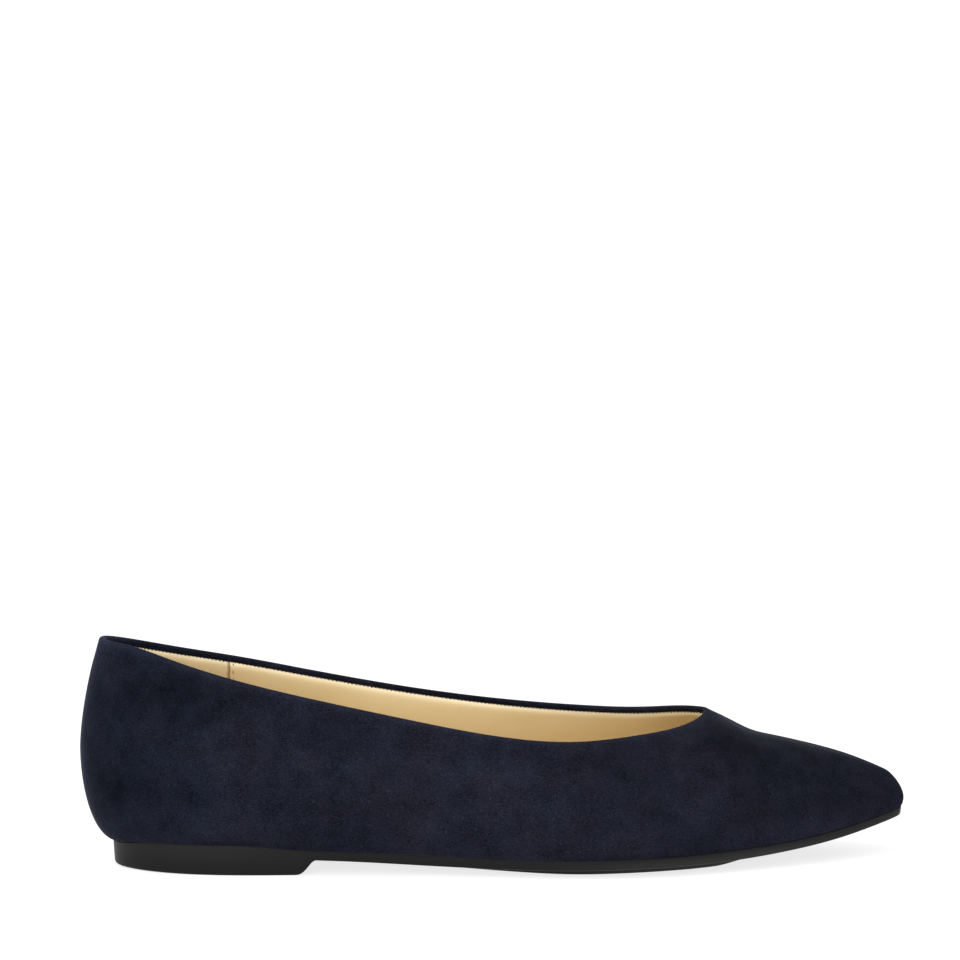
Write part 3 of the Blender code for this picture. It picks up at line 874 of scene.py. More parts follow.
def collar_fold(points, turn):
    """The roll and the band, from the tops of the columns, and the painted shade inside the fold at each
    point, less at the heel.
    """
    on_collar = np.flatnonzero(np.abs(signed(turn)) < APEX_TURN + 1e-9)
    on_collar = on_collar[np.argsort(signed(turn)[on_collar])]
    _, up, away = (d[:, None] for d in collar_frame(turn[on_collar]))
    start = points[on_collar, -1][:, None]
    angle = np.linspace(0, math.pi, ROLL_LEVELS)[None, :, None]
    roll = start + roll_at(turn[on_collar])[:, None] * ((np.cos(angle) - 1) * away + np.sin(angle) * up)
    band = band_at(turn[on_collar])[:, None] * np.linspace(0, 1, BAND_LEVELS + 1)[None, 1:, None]
    folded = np.concatenate([roll, roll[:, -1:] - up * band], axis=1)
    inside = np.concatenate([smooth_step(angle[0, :, 0], *INSIDE_ANGLES), np.ones(BAND_LEVELS)])
    # painted shade on the band inside the fold, with darker nap, only 0.6 of it at the heel
    shaded = HEEL_BAND_SHADE + (1 - HEEL_BAND_SHADE) * smooth_step(folded[..., 0], *HEEL_BAND_SHADE_SPAN)
    return folded, inside * shaded


print("width of the band at the back and at the side", band_at(np.array([0.0, 1.6])).ravel().tolist())

# %% Suede upper with its rolled collar
SUEDE_THICKNESS = 0.5
RIM_FADE = 0.6
COLLAR_COLUMNS, COLLAR_START, VAMP_COLUMNS = 170, 0.05, 70
SEAM_COLUMNS = np.array([0.0, 0.004, 0.008, 0.012, 0.017, 0.023, 0.030, 0.039])
MARGIN_LEVELS, TUCK_LEVELS, SIDE_LEVELS = [0, 0.35, 0.7], 15, 30


def below_top(points):
    """Distance of each point from the top of its column, measured down the column."""
    step = np.linalg.norm(np.diff(points, axis=1), axis=2)
    below = np.cumsum(step[:, ::-1], axis=1)[:, ::-1]
    return np.concatenate([below, np.zeros((len(points), 1))], axis=1)


def mirrored(lateral):
    """Turns of both sides from those of the lateral side, which start at the back and end at the toe."""
    return np.concatenate([lateral, 2 * math.pi - lateral[-2:0:-1]])


def make_suede_upper():
    collar = APEX_TURN - (APEX_TURN - COLLAR_START) * np.linspace(1, 0, COLLAR_COLUMNS) ** 2
    vamp = APEX_TURN + (math.pi - APEX_TURN) * np.linspace(0, 1, VAMP_COLUMNS)
    turn = mirrored(np.concatenate([SEAM_COLUMNS, collar, vamp[1:]]))
    tuck = 1 + np.linspace(0, 1, TUCK_LEVELS)
    side = 2 + np.linspace(0, 1, SIDE_LEVELS)
    level = np.concatenate([MARGIN_LEVELS, tuck, side[1:]])
    points = surface(turn, level)
    out = outward(points, turn)
    points -= out * trough_depth(points)[..., None]
    faces = grid_faces(len(turn), len(level), True)
    # edge: paler nap and a painted highlight near the collar's edge and over its fold
    edge = np.exp(-below_top(points) / RIM_FADE)
    edge[share_of(turn) > APEX + 1e-6] = 0
    folded, inside = collar_fold(points, turn)
    fold_faces = [tuple(i + points[..., 0].size for i in f) for f in grid_faces(*folded.shape[:2], False)]
    # nap holds the nap's own rubs together with painted shade and painted highlight
    marks = {
        "edge": np.concatenate([edge.ravel(), np.ones(folded[..., 0].size)]),
        "inside": np.concatenate([np.zeros(edge.size), inside.ravel()]),
        "nap": np.concatenate([nap_and_painted_light(points).ravel(), nap_and_painted_light(folded).ravel()]),
    }
    everything = np.concatenate([points.reshape(-1, 3), folded.reshape(-1, 3)])
    return make_piece("suede_upper", everything, faces + fold_faces, marks)


suede_upper = make_suede_upper()
thicken(suede_upper, SUEDE_THICKNESS)
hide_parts("upper")
print("suede upper points", len(suede_upper.data.vertices), "faces", len(suede_upper.data.polygons))

# %% [markdown]
# ## Lining
# Inside, the shoe is lined in beige leather in two parts. The long front part runs round the toe and ends
# on each side behind the ankle, where its cut edge laps over a separate heel grip. Both are sheets laid
# inside the suede. Under the band the leather swells into a soft lip, because the turned edges are all
# folded in there. The lip faces up and catches the light, so it is modelled, and the finish also paints a
# highlight on it.

# %% Shape of the lip
LINING_DEPTH, LINING_THICKNESS = 1.4, 0.4
LINING_TUCK, LINING_FOOT = 0.45, 1.15
LIP_TUCKED, LIP_EDGE, LIP_EDGE_SPAN = -0.95, 0.7, (0.2, 0.55)
LIP_START, LIP_SHELF, LIP_SHELF_FADE = 0.35, 0.8, 0.5
LIP_SWELL, LIP_SWELL_FADE, LIP_END_SPAN = 0.9, 3, (6, 26)


def lining_levels(turn, count):
    """Levels from the floor of the shoe up to just under the suede band, closer together near the band."""
    reach = np.linalg.norm(top_line(turn) - belly_line(turn), axis=1)
    stop = np.where(share_of(turn) > APEX - 1e-9, 3.0, 3.0 - LINING_TUCK / reach)
    climb = 1 - np.linspace(1, 0, count) ** 2
    return LINING_FOOT + (stop[:, None] - LINING_FOOT) * climb[None]


def from_band(points, turn):
    """Distance of each point of a sheet from the collar's edge, down the side or forward under the vamp."""
    return below_top(points) + np.maximum(0, share_of(turn) - APEX)[:, None] * (RIDGE_TIP - COLLAR_BACK)


def lip(below, turn):
    """Depth of the leather inside the suede: tucked behind the band, swollen below it, then near the wall."""
    behind = 2 * roll_at(turn) + LIP_TUCKED
    edge = LIP_EDGE * smooth_step(below, *LIP_EDGE_SPAN)
    start = np.maximum(below - LIP_START, 0)
    shelf = LIP_SHELF * (1 - np.exp(-start / LIP_SHELF_FADE))
    swell = shelf + LIP_SWELL * (1 - np.exp(-start / LIP_SWELL_FADE))
    fullest = behind + LIP_EDGE + LIP_SHELF + LIP_SWELL
    return behind + edge + swell - (fullest - LINING_DEPTH) * smooth_step(below, *LIP_END_SPAN)


sample = np.array([[0.0, 1.0, 3.0, 30.0]])
print("lip 0, 1, 3 and 30 mm under the band", lip(sample, np.array([1.5])).round(2).tolist())

# %% [markdown]
# Each sheet is the surface of the upper read again and moved inwards by the lip, so it follows every
# curve of the suede. The cut edge of the front part rises over the heel grip, leans back a little and is
# not quite straight. The grip has slight upright ripples where it is eased round the back, and dives
# under the lap.

# %% Face of the front lining
SEAM_ALONG, LAP = 45.6, 3.0
SEAM_TURN = float(turn_of((SEAM_ALONG - COLLAR_BACK) / (RIDGE_TIP - COLLAR_BACK)))
SEAM_LEAN, SEAM_FOOT, SEAM_FADE = 0.14, 60.0, 12
SEAM_WAVE, SEAM_WAVE_LENGTH, SEAM_WAVER, SEAM_WAVER_LENGTH = 0.22, 1.6, 0.12, 0.7
LAP_RISE, LAP_RISE_SPAN, LAP_FOOT_SPAN = 0.5, (1.2, 2.2 * LAP), (4, 14)
LAP_EDGE_DROP, LAP_EDGE_ROUND = 0.2, 0.4
LINING_RIPPLE, LINING_RIPPLE_SPAN = 0.10, (5, 25)


def from_seam(turn):
    """Distance in front of the seam, measured along the collar."""
    return COLLAR_BACK + share_of(turn) * (RIDGE_TIP - COLLAR_BACK) - SEAM_ALONG


def seam_shift(points):
    """How far the seam runs from its column: it leans back a little and its cut edge is wavy."""
    up = points[..., 2]
    leaning = SEAM_LEAN * (SEAM_FOOT - up) + SEAM_WAVE * np.sin(up / SEAM_WAVE_LENGTH)
    return leaning + SEAM_WAVER * np.sin(up / SEAM_WAVER_LENGTH)


def lining_face(turn, levels):
    """The front lining with its rounded cut edge, its outward directions and its distance from the band."""
    points = surface(turn, lining_levels(turn, levels))
    ahead = from_seam(turn)[:, None]
    rise = LAP_RISE * (1 - smooth_step(ahead, *LAP_RISE_SPAN))
    rise = rise - LAP_EDGE_DROP * (1 - smooth_step(ahead, 0.0, LAP_EDGE_ROUND))
    rise = rise * smooth_step(points[..., 2] - seat_height(points[..., 0]), *LAP_FOOT_SPAN)
    ripple = LINING_RIPPLE * np.sin(points[..., 0] / 11.0 + points[..., 2] / 17.0)
    ripple = ripple * smooth_step(ahead, *LINING_RIPPLE_SPAN)
    out = outward(points, turn, closed=False)
    below = from_band(points, turn)
    face = points - out * (lip(below, turn) + rise + ripple)[..., None]
    face[..., 0] += seam_shift(points) * (1 - smooth_step(ahead, 0.0, SEAM_FADE))
    return face, out, below


print("the cut edge lies", SEAM_ALONG, "mm from the back, at turn", round(SEAM_TURN, 3))

# %% Face of the heel grip
GRIP_RIPPLE, GRIP_RIPPLE_SPAN = 0.06, (15, 40)
GRIP_DIVE, GRIP_DIVE_SPAN = 0.5, (0.3, 2.5)


def grip_face(turn, levels):
    """The heel grip, its distance in front of the seam, and its distance from the band."""
    points = surface(turn, lining_levels(turn, levels))
    ripple = np.sin(points[..., 1] / 2.3 + 0.6 * np.sin(points[..., 2] / 6.0))
    ripple = (ripple + np.sin(points[..., 0] / 1.9 + 1.0)) * smooth_step(points[..., 2], *GRIP_RIPPLE_SPAN)
    ahead = from_seam(turn)[:, None] - seam_shift(points)
    out = outward(points, turn, closed=False)
    below = from_band(points, turn)
    depth = lip(below, turn) + GRIP_RIPPLE * ripple - GRIP_DIVE * smooth_step(ahead, *GRIP_DIVE_SPAN)
    depth = np.maximum(depth, SUEDE_THICKNESS + LINING_THICKNESS)
    return points - out * depth[..., None], ahead, below


print("the grip dives", GRIP_DIVE, "mm under the lap")

# %% Lining sheets
LIP_HIGHLIGHT_FADE, THROAT_LIP_HIGHLIGHT = 0.9, 0.9
LAP_STEPS, SIDE_START = [0.0, 0.002, 0.004, 0.009, 0.016], 0.03
FRONT_SIDE_COLUMNS, FRONT_TOE_COLUMNS, FRONT_LEVELS = 90, 46, 40
GRIP_UNDERLAP, GRIP_COLUMNS, GRIP_LEVELS = 0.11, 297, 44
FRONT_SEAM_SPAN, GRIP_LAP_SHADE_SPAN = (0.05, 0.4), (-0.9, -0.1)


def lining_piece(name, turn, face, seam, below):
    """A sheet with its faces towards the foot, marked where it is dark at the seam, a dyed cut edge with
    painted shade beside it, and where a painted highlight pales it under the band.
    """
    faces = [corners[::-1] for corners in grid_faces(*face.shape[:2], False)]
    # stretch: a painted highlight under the band, stronger at the throat
    stretch = np.exp(-below / LIP_HIGHLIGHT_FADE) * (1 + THROAT_LIP_HIGHLIGHT * throat_share(turn))
    marks = {"seam": np.broadcast_to(seam, below.shape).ravel(), "stretch": stretch.ravel()}
    piece = make_piece(name, face.reshape(-1, 3), faces, marks)
    thicken(piece, LINING_THICKNESS)
    return piece


lap_turns = SEAM_TURN + np.array(LAP_STEPS)
side_turns = APEX_TURN - (APEX_TURN - SEAM_TURN - SIDE_START) * np.linspace(1, 0, FRONT_SIDE_COLUMNS) ** 2
toe_turns = np.linspace(APEX_TURN, math.pi, FRONT_TOE_COLUMNS)[1:]
front_turns = np.concatenate([lap_turns, side_turns, toe_turns])
front_turns = np.concatenate([front_turns, 2 * math.pi - front_turns[-2::-1]])
face, _, below = lining_face(front_turns, FRONT_LEVELS)
# front lining: dark dyed cut edge, with painted shade in its crevice
front_seam = 1 - smooth_step(from_seam(front_turns), *FRONT_SEAM_SPAN)[:, None]
lining = lining_piece("front_lining", front_turns, face, front_seam, below)
grip_turns = np.linspace(-SEAM_TURN - GRIP_UNDERLAP, SEAM_TURN + GRIP_UNDERLAP, GRIP_COLUMNS)
face, ahead, below = grip_face(grip_turns, GRIP_LEVELS)
# on the grip the seam mark is painted shade beside the edge of the lap
heel_grip = lining_piece("heel_grip", grip_turns, face, smooth_step(ahead, *GRIP_LAP_SHADE_SPAN), below)
print("lining faces", len(lining.data.polygons), "heel grip faces", len(heel_grip.data.polygons))

# %% [markdown]
# ## Stitches
# The band is caught down to the lining by a fine row of stitches, which gives its lower edge a toothed
# look, and the lap at the heel grip has a row of its own. Each stitch is a short bowed thread, thin at
# the ends where it goes into the leather. One function makes a whole row as a single mesh, because a few
# hundred separate objects would be slow to handle.

# %% One row of stitches
def stitch_row(name, starts, ends, lift, radius, sides=6, rings=6):
    """Bowed threads from starts to ends. Lift is the way they stand off the leather, and how far."""
    step = np.linspace(0, 1, rings)[None, :, None]
    spine = starts[:, None] + (ends - starts)[:, None] * step + lift[:, None] * np.sin(step * math.pi)
    run = unit(ends - starts)
    side = unit(np.cross(run, lift))
    over = np.cross(side, run)
    angle = np.linspace(0, 2 * math.pi, sides, endpoint=False)
    ring = side[:, None] * np.cos(angle)[None, :, None] + over[:, None] * np.sin(angle)[None, :, None]
    girth = radius * np.sin(np.clip(step, 0, 1) * math.pi)[0, :, 0] ** 0.5
    points = spine[:, :, None] + ring[:, None] * girth[None, :, None, None]
    faces = []
    for i in range(len(starts)):
        for r in range(rings - 1):
            low = (i * rings + r) * sides
            for k in range(sides):
                n = (k + 1) % sides
                faces.append((low + k, low + n, low + sides + n, low + sides + k))
    return make_piece(name, points.reshape(-1, 3), faces)


def even_places(points, pitch):
    """Shares of a polyline's index at an even pitch along it."""
    length = np.concatenate([[0], np.cumsum(np.linalg.norm(np.diff(points, axis=0), axis=1))])
    count = int(length[-1] / pitch)
    return np.interp((np.arange(count) + 0.5) * length[-1] / count, length, np.arange(len(points)))


print("stitches in 10 mm at a pitch of 1.25 mm:", len(even_places(np.array([[0.0], [10.0]]), 1.25)))

# %% Band stitches
BAND_STITCH_PITCH, BAND_STITCH_UP, BAND_STITCH_DOWN = 1.25, 0.3, 0.34
BAND_STITCH_SLANT, BAND_STITCH_LIFT, BAND_STITCH_RADIUS = 0.14, 0.16, 0.2
BAND_STITCH_HEAD_IN, BAND_STITCH_FOOT_IN, BAND_STITCH_UNEVEN = 0.05, 0.10, 0.6
BAND_POINTS, BAND_END = 1600, 0.006


def band_edge(turn):
    """The lower edge of the suede band, and the directions there."""
    run, up, out = collar_frame(turn)
    edge = top_line(turn % (2 * math.pi)) - 2 * roll_at(turn) * out - band_at(turn) * up
    return edge, run, up, out


band_turns = np.linspace(-APEX_TURN + BAND_END, APEX_TURN - BAND_END, BAND_POINTS)
places = even_places(band_edge(band_turns)[0], BAND_STITCH_PITCH)
edge, run, up, out = band_edge(np.interp(places, np.arange(len(band_turns)), band_turns))
number = np.arange(len(places))
uneven = (np.sin(number * 2.4) * np.sin(number * 1.1))[:, None]
down = BAND_STITCH_DOWN * (1 + BAND_STITCH_UNEVEN * uneven)
band_stitches = stitch_row(
    "band_stitches",
    edge + BAND_STITCH_UP * up - BAND_STITCH_SLANT * run + BAND_STITCH_HEAD_IN * out,
    edge - down * up + BAND_STITCH_SLANT * run + BAND_STITCH_FOOT_IN * out,
    -BAND_STITCH_LIFT * out,
    BAND_STITCH_RADIUS,
)
print("band stitches", len(places))

# %% [markdown]
# The lap has longer stitches that run down its cut edge, a little in from it, on both sides of the heel.
# Their line is one column of the lining's face, without its two ends, which are hidden under the band and
# the insole.

# %% Lap stitches
LAP_STITCH_IN, LAP_STITCH_PITCH, LAP_STITCH_LENGTH = 1.15, 2.6, 1.4
LAP_STITCH_LIFT, LAP_STITCH_RADIUS = 0.12, 0.17
LAP_POINTS, LAP_STITCHED, LAP_NUDGE = 400, slice(40, 385), 0.01
LAP_TURN = float(turn_of((SEAM_ALONG + LAP_STITCH_IN - COLLAR_BACK) / (RIDGE_TIP - COLLAR_BACK)))


def lap_line(side):
    """The lining's face along the stitch line of the lap, and its direction towards the foot."""
    turns = (LAP_TURN + np.array([-LAP_NUDGE, 0.0, LAP_NUDGE])) * side % (2 * math.pi)
    face, out, _ = lining_face(turns if side > 0 else turns[::-1], LAP_POINTS)
    return face[1][LAP_STITCHED], -out[1][LAP_STITCHED]


def read_at(places, values):
    """Rows of values read between their indices."""
    return np.stack([np.interp(places, np.arange(len(values)), column) for column in values.T], axis=-1)


rows = []
for side in (1, -1):
    face, inward = lap_line(side)
    at = even_places(face, LAP_STITCH_PITCH)
    middle, normal = read_at(at, face), read_at(at, inward)
    run = unit(read_at(at, np.gradient(face, axis=0)))
    start, end = middle - run * LAP_STITCH_LENGTH / 2, middle + run * LAP_STITCH_LENGTH / 2
    rows.append((start, end, normal * LAP_STITCH_LIFT))
lap_stitches = stitch_row("lap_stitches", *(np.concatenate(part) for part in zip(*rows)), LAP_STITCH_RADIUS)
print("lap stitches", sum(len(start) for start, _, _ in rows))

# %% [markdown]
# ## Insole
# The insole is a thin board covered in the same beige leather. It lies in the bottom of the shoe inside
# the lining. Its outline is the wall of the shoe drawn in by the thickness of suede and lining. Drawing a
# closed line in along its own normals keeps the heel end round, where scaling it would not. The board is
# nearly flat, with edges that roll down to the lining, and a shallow cup where the heel sits.

# %% Lines drawn in
ROOM_SHARE = 0.4


def drawn_in(line, distance):
    """A closed line moved inwards in plan, by a distance that may differ round it, never past its middle."""
    run = np.roll(line, -1, axis=0) - np.roll(line, 1, axis=0)
    inward = unit(np.stack([-run[:, 1], run[:, 0]], axis=-1))
    other = line[-np.arange(len(line))]
    room = ROOM_SHARE * np.abs(other[:, 1] - line[:, 1]) / np.maximum(np.abs(inward[:, 1]), 1e-6)
    room = np.where(room < 1e-6, np.inf, room)
    return line + inward * np.minimum(distance, room)[:, None]


def wall_line(turn, height):
    """Outside of the upper in plan, at a height over the feather edge."""
    feather, belly = feather_line(turn), belly_line(turn)
    angle = np.arccos(np.clip(1 - height / (belly - feather)[:, 2], 0, 1))
    return feather[:, :2] + (belly - feather)[:, :2] * np.sin(angle)[:, None]


print("the wall at the back of the heel", wall_line(np.array([0.0]), 4.0).round(2).tolist())

# %% Loft through cross-sections
def loft_rows(name, rows, marks=None):
    """A closed solid from closed cross-sections of equal length, the first and last drawn to an edge."""
    points = np.array(rows)
    count, width = points.shape[:2]
    faces = []
    for i in range(count - 1):
        for k in range(width):
            n = (k + 1) % width
            faces.append((i * width + k, i * width + n, (i + 1) * width + n, (i + 1) * width + k))
    piece = make_piece(name, points.reshape(-1, 3), faces, marks)
    edit = bmesh.new()
    edit.from_mesh(piece.data)
    bmesh.ops.holes_fill(edit, edges=edit.edges, sides=0)
    bmesh.ops.recalc_face_normals(edit, faces=edit.faces)
    edit.to_mesh(piece.data)
    edit.free()
    piece.data.shade_smooth()
    return piece


print("loft ready")

# %% Insole
INSOLE_LIFT, INSOLE_THICKNESS = 2.4, 2.4
INSOLE_PLAY, INSOLE_UNDERCUT = 0.25, 2.5
INSOLE_BRIM, INSOLE_ROLL, INSOLE_ROLL_POWER = 0.9, 0.7, 8
CUP_DEPTH, CUP_ALONG, CUP_HALF = 0.45, 40, 24
INSOLE_ROWS, INSOLE_POINTS = 160, 33


def make_insole():
    turn = mirrored(np.linspace(0, math.pi, INSOLE_ROWS))
    wall = wall_line(turn, INSOLE_LIFT + INSOLE_THICKNESS - INSOLE_BRIM)
    brim = drawn_in(wall, LINING_DEPTH + INSOLE_PLAY)
    foot = drawn_in(brim, INSOLE_UNDERCUT)
    across = np.sin(np.linspace(-math.pi / 2, math.pi / 2, INSOLE_POINTS))
    rows = []
    for i in range(INSOLE_ROWS):
        j = -i % len(turn)
        over = brim[i] + (brim[j] - brim[i]) * (across[:, None] + 1) / 2
        cup = CUP_DEPTH * (1 - across**2) * np.exp(-(((over[:, 0] - CUP_ALONG) / CUP_HALF) ** 2))
        flat = seat_height(over[:, 0]) + INSOLE_LIFT + INSOLE_THICKNESS
        top = flat - INSOLE_ROLL * np.abs(across) ** INSOLE_ROLL_POWER - cup
        under = np.stack([foot[i], foot[j]])
        under = np.column_stack([under, seat_height(under[:, 0]) + INSOLE_LIFT])
        rows.append(np.concatenate([under[:1], np.column_stack([over, top]), under[1:]]))
    return loft_rows("insole_cover", rows)


insole = make_insole()
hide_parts("insole")
print("insole faces", len(insole.data.polygons))

# %% [markdown]
# ## Outsole
# The outsole is one moulding: a low heel, a thin waist and a forepart whose ground pad stands a little
# below the edge. Closed lines run round it, each drawn in from the one above, and the sole is lofted
# through them from edge to edge. Boxes cut and joined would be quicker, but the edge has to follow the
# upper all the way round, up to a low lip that hides the gap. The heel is lifted a hair at its back, as
# heels are, so that the shoe rolls off the ground.

# %% Sole sizes
SOLE_PROUD, SOLE_LIP, SOLE_BEYOND = 0.3, 0.5, 0.6
SOLE_BACK, SOLE_TIP = FEATHER_BACK - SOLE_BEYOND, FEATHER_TIP + SOLE_BEYOND
HEEL_FRONT, BREAST_FRONT, BREAST_POWER = 66.0, 73.6, 2.2
HEEL_TAPER, SOLE_TAPER = 0.4, 0.3
HEEL_BEVEL, SOLE_BEVEL = 0.5, 0.4
PAD_BACK, PAD_FULL, PAD_FRONT, PAD_FADE = 96.0, 158.0, 207.0, 12.0
PAD_DEPTH, PAD_INSET, PAD_STEP = 1.2, 2.0, 0.6
CROWN, CROWN_FADE, CROWN_FRONT = 1.8, 188.0, 225.0
HEEL_LIFT, HEEL_LIFT_END = 0.5, 52.0
SOLE_TOP_IN = 1.5


def pad_share(along):
    return smooth_step(along, PAD_BACK, PAD_FULL) * (1 - smooth_step(along, PAD_FRONT - PAD_FADE, PAD_FRONT))


def sole_floor(along, across, pad):
    """Height of the sole's lower face, where across is 0 on the middle line and 1 at the edge."""
    thickness = spline(SEAT["along"], SEAT["edge_mm"], np.asarray(along) / FEATHER_TIP)
    edge = seat_height(along) - thickness - pad * PAD_DEPTH * pad_share(along)
    crown = CROWN * smooth_step(along, PAD_BACK, PAD_FULL) * (1 - smooth_step(along, CROWN_FADE, CROWN_FRONT))
    crowned = edge - crown * (1 - across**2)
    breast = smooth_step(along, HEEL_FRONT, BREAST_FRONT) ** BREAST_POWER
    lift = HEEL_LIFT * (1 - smooth_step(along, SOLE_BACK - HEEL_LIFT_END, HEEL_LIFT_END)) * 2
    return np.maximum(0, crowned * breast) + lift * (1 - breast)


print("sole from", SOLE_BACK, "to", SOLE_TIP, "mm, heel to", HEEL_FRONT, "mm")

# %% [markdown]
# The lines round the sole come in this order: inside its upper face, the lip at the top of the edge, the
# foot of the edge, the bevel, and three more that step down to the ground pad.

# %% Rings round the sole
def sole_rings(turn):
    """Closed lines round the sole, from its upper face over the edge and the bevel to the foot of the pad."""
    outline = np.stack(line_of(turn, SOLE_BACK, SOLE_TIP, "sole_lateral", "sole_medial"), axis=-1)
    edge = drawn_in(outline, -SOLE_PROUD)
    heel = 1 - smooth_step(edge[:, 0], HEEL_FRONT, BREAST_FRONT)
    taper = SOLE_TAPER + (HEEL_TAPER - SOLE_TAPER) * heel
    bevel = SOLE_BEVEL + (HEEL_BEVEL - SOLE_BEVEL) * heel
    half = np.maximum(np.abs(edge[-np.arange(len(edge)), 1] - edge[:, 1]) / 2, 1.0)
    low, flat = drawn_in(edge, taper), drawn_in(edge, taper + bevel)
    rings = [drawn_in(edge, SOLE_TOP_IN), edge, low, flat]
    heights = [seat_height(rings[0][:, 0]), seat_height(edge[:, 0]) + SOLE_LIP]
    heights += [sole_floor(low[:, 0], 1.0, 0) + bevel, sole_floor(flat[:, 0], 1.0, 0)]
    for inset, pad in ((PAD_INSET, 0), (PAD_INSET + PAD_STEP, 1), (2 * PAD_INSET, 1)):
        inset = taper + bevel + inset
        line = drawn_in(edge, inset)
        rings.append(line)
        heights.append(sole_floor(line[:, 0], np.clip(1 - inset / half, 0, 1), pad))
    return np.stack([np.column_stack(pair) for pair in zip(rings, heights)], axis=1)


rings = sole_rings(mirrored(np.linspace(0, math.pi, 7)))
print("lines round the sole", rings.shape[1], "at the back of the heel", rings[0].round(1).tolist())

# %% [markdown]
# Underneath, shallow curved grooves give grip on the heel and on the pad. They are cut into the rubber,
# so nothing stands lower than the solid sole. The corners of a moulding are never sharp, so each
# cross-section has its corners rounded before it is lofted. A Bevel modifier would round them too, but it
# would round the grooves as well.

# %% Grooves and corners
GROOVE_PITCH, GROOVE_DEPTH, GROOVE_BORDER, GROOVE_SWEEP = 4.0, 0.55, 4.5, 5.0
GROOVE_END, GROOVE_BORDER_FADE, GROOVE_WALL = 3, 1.2, (0.35, 0.8)
GROOVED = ((19.0, 63.0), (112.0, 191.0))
CORNER_RADII = (0.3, 0.7, 0.5, 0.35, 0.35)
CORNER_ROOM = 0.45


def between(along, start, end):
    """1 along a stretch of the sole, fading to 0 at both its ends."""
    return smooth_step(along, start, start + GROOVE_END) * (1 - smooth_step(along, end - GROOVE_END, end))


def groove_depth(along, out, half):
    """How far a point of the lower face is cut away by the grooves, which bow forward in the middle."""
    room = np.max([between(along, start, end) for start, end in GROOVED], axis=0)
    border = smooth_step(half - out, GROOVE_BORDER, GROOVE_BORDER + GROOVE_BORDER_FADE)
    phase = (along - GROOVE_SWEEP * (1 - (out / max(half, 1.0)) ** 2)) / GROOVE_PITCH * 2 * math.pi
    return GROOVE_DEPTH * room * border * smooth_step(np.cos(phase), *GROOVE_WALL)


def rounded(corners, radii, steps=4):
    """A run of corners with each inner one replaced by a small curve."""
    corners = np.asarray(corners, float)
    run = [corners[0]]
    for before, corner, after, radius in zip(corners, corners[1:], corners[2:], radii):
        into, away = before - corner, after - corner
        start = corner + into * min(CORNER_ROOM, radius / max(np.linalg.norm(into), 1e-6))
        end = corner + away * min(CORNER_ROOM, radius / max(np.linalg.norm(away), 1e-6))
        for t in np.linspace(0, 1, steps):
            run.append(start * (1 - t) ** 2 + corner * 2 * t * (1 - t) + end * t**2)
    return np.array(run + [corners[-1]])


print("deepest groove", GROOVE_DEPTH, "mm, one every", GROOVE_PITCH, "mm")

# %% [markdown]
# The cross-sections stand closer together where the sole changes fast: at the grooves, the breast of the
# heel and the front end of the pad. Each is marked for the finish with a painted highlight along the
# lower edge of the forepart, which fades towards the toe.

# %% Sole with its grooves
SOLE_ROWS, GROOVE_ROWS, BREAST_ROWS, PAD_END_ROWS, CLOSEST_ROWS = 150, 9, 14, 9, 0.08
FOOT_STEPS = 31
# painted highlight along the lower edge, ring by ring
EDGE_HIGHLIGHT_RINGS = (0, 0, 1, 1, 0.4, 1, 0.6)
EDGE_HIGHLIGHT_SPAN, EDGE_HIGHLIGHT_TOE, EDGE_HIGHLIGHT_TOE_SPAN = (130, 195), 0.6, (212, 230)


def sole_stations():
    """Distances along the sole at which it is cut into cross-sections."""
    even = SOLE_BACK + share_of(np.linspace(0, math.pi, SOLE_ROWS)) * (SOLE_TIP - SOLE_BACK)
    fine = [np.arange(start, end, GROOVE_PITCH / GROOVE_ROWS) for start, end in GROOVED]
    breast = np.linspace(HEEL_FRONT, BREAST_FRONT, BREAST_ROWS)
    fade = np.linspace(PAD_FRONT - PAD_FADE, PAD_FRONT, PAD_END_ROWS)
    along = np.unique(np.round(np.concatenate([even, breast, fade, *fine]), 2))
    along = np.concatenate([along[:1], along[1:][np.diff(along) > CLOSEST_ROWS]])
    along[0], along[-1] = SOLE_BACK, SOLE_TIP
    return along


def make_sole():
    lateral = turn_of((sole_stations() - SOLE_BACK) / (SOLE_TIP - SOLE_BACK))
    rings = sole_rings(mirrored(lateral))
    share = np.linspace(0, 1, FOOT_STEPS)[1:-1, None]
    side_ring_highlight = rounded(np.array(EDGE_HIGHLIGHT_RINGS)[:, None], [0] * len(CORNER_RADII))[:, 0]
    ring_highlight = np.concatenate([side_ring_highlight, np.full(len(share), EDGE_HIGHLIGHT_RINGS[-1]), side_ring_highlight[::-1]])
    rows = []
    for i in range(len(lateral)):
        left, right = rings[i], rings[-i % len(rings)]
        near, far = left[-1], right[-1]
        half = (far[1] - near[1]) / 2
        across = 2 * half / max(right[1, 1] - left[1, 1], 1.0)
        foot = near + (far - near) * share
        out = np.abs(1 - 2 * share[:, 0])
        foot[:, 2] = sole_floor(foot[:, 0], out * across, 1) + groove_depth(foot[:, 0], out * half, half)
        rows.append(np.concatenate([rounded(left, CORNER_RADII), foot, rounded(right, CORNER_RADII)[::-1]]))
    along = np.array(rows)[..., 0]
    # painted highlight along the forepart's lower edge, fading towards the toe
    edge_highlight = ring_highlight[None] * smooth_step(along, *EDGE_HIGHLIGHT_SPAN) * (1 - EDGE_HIGHLIGHT_TOE * smooth_step(along, *EDGE_HIGHLIGHT_TOE_SPAN))
    return loft_rows("rubber_outsole", rows, {"edge_highlight": edge_highlight.ravel()})


outsole = make_sole()
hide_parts("outsole")
print("outsole faces", len(outsole.data.polygons))

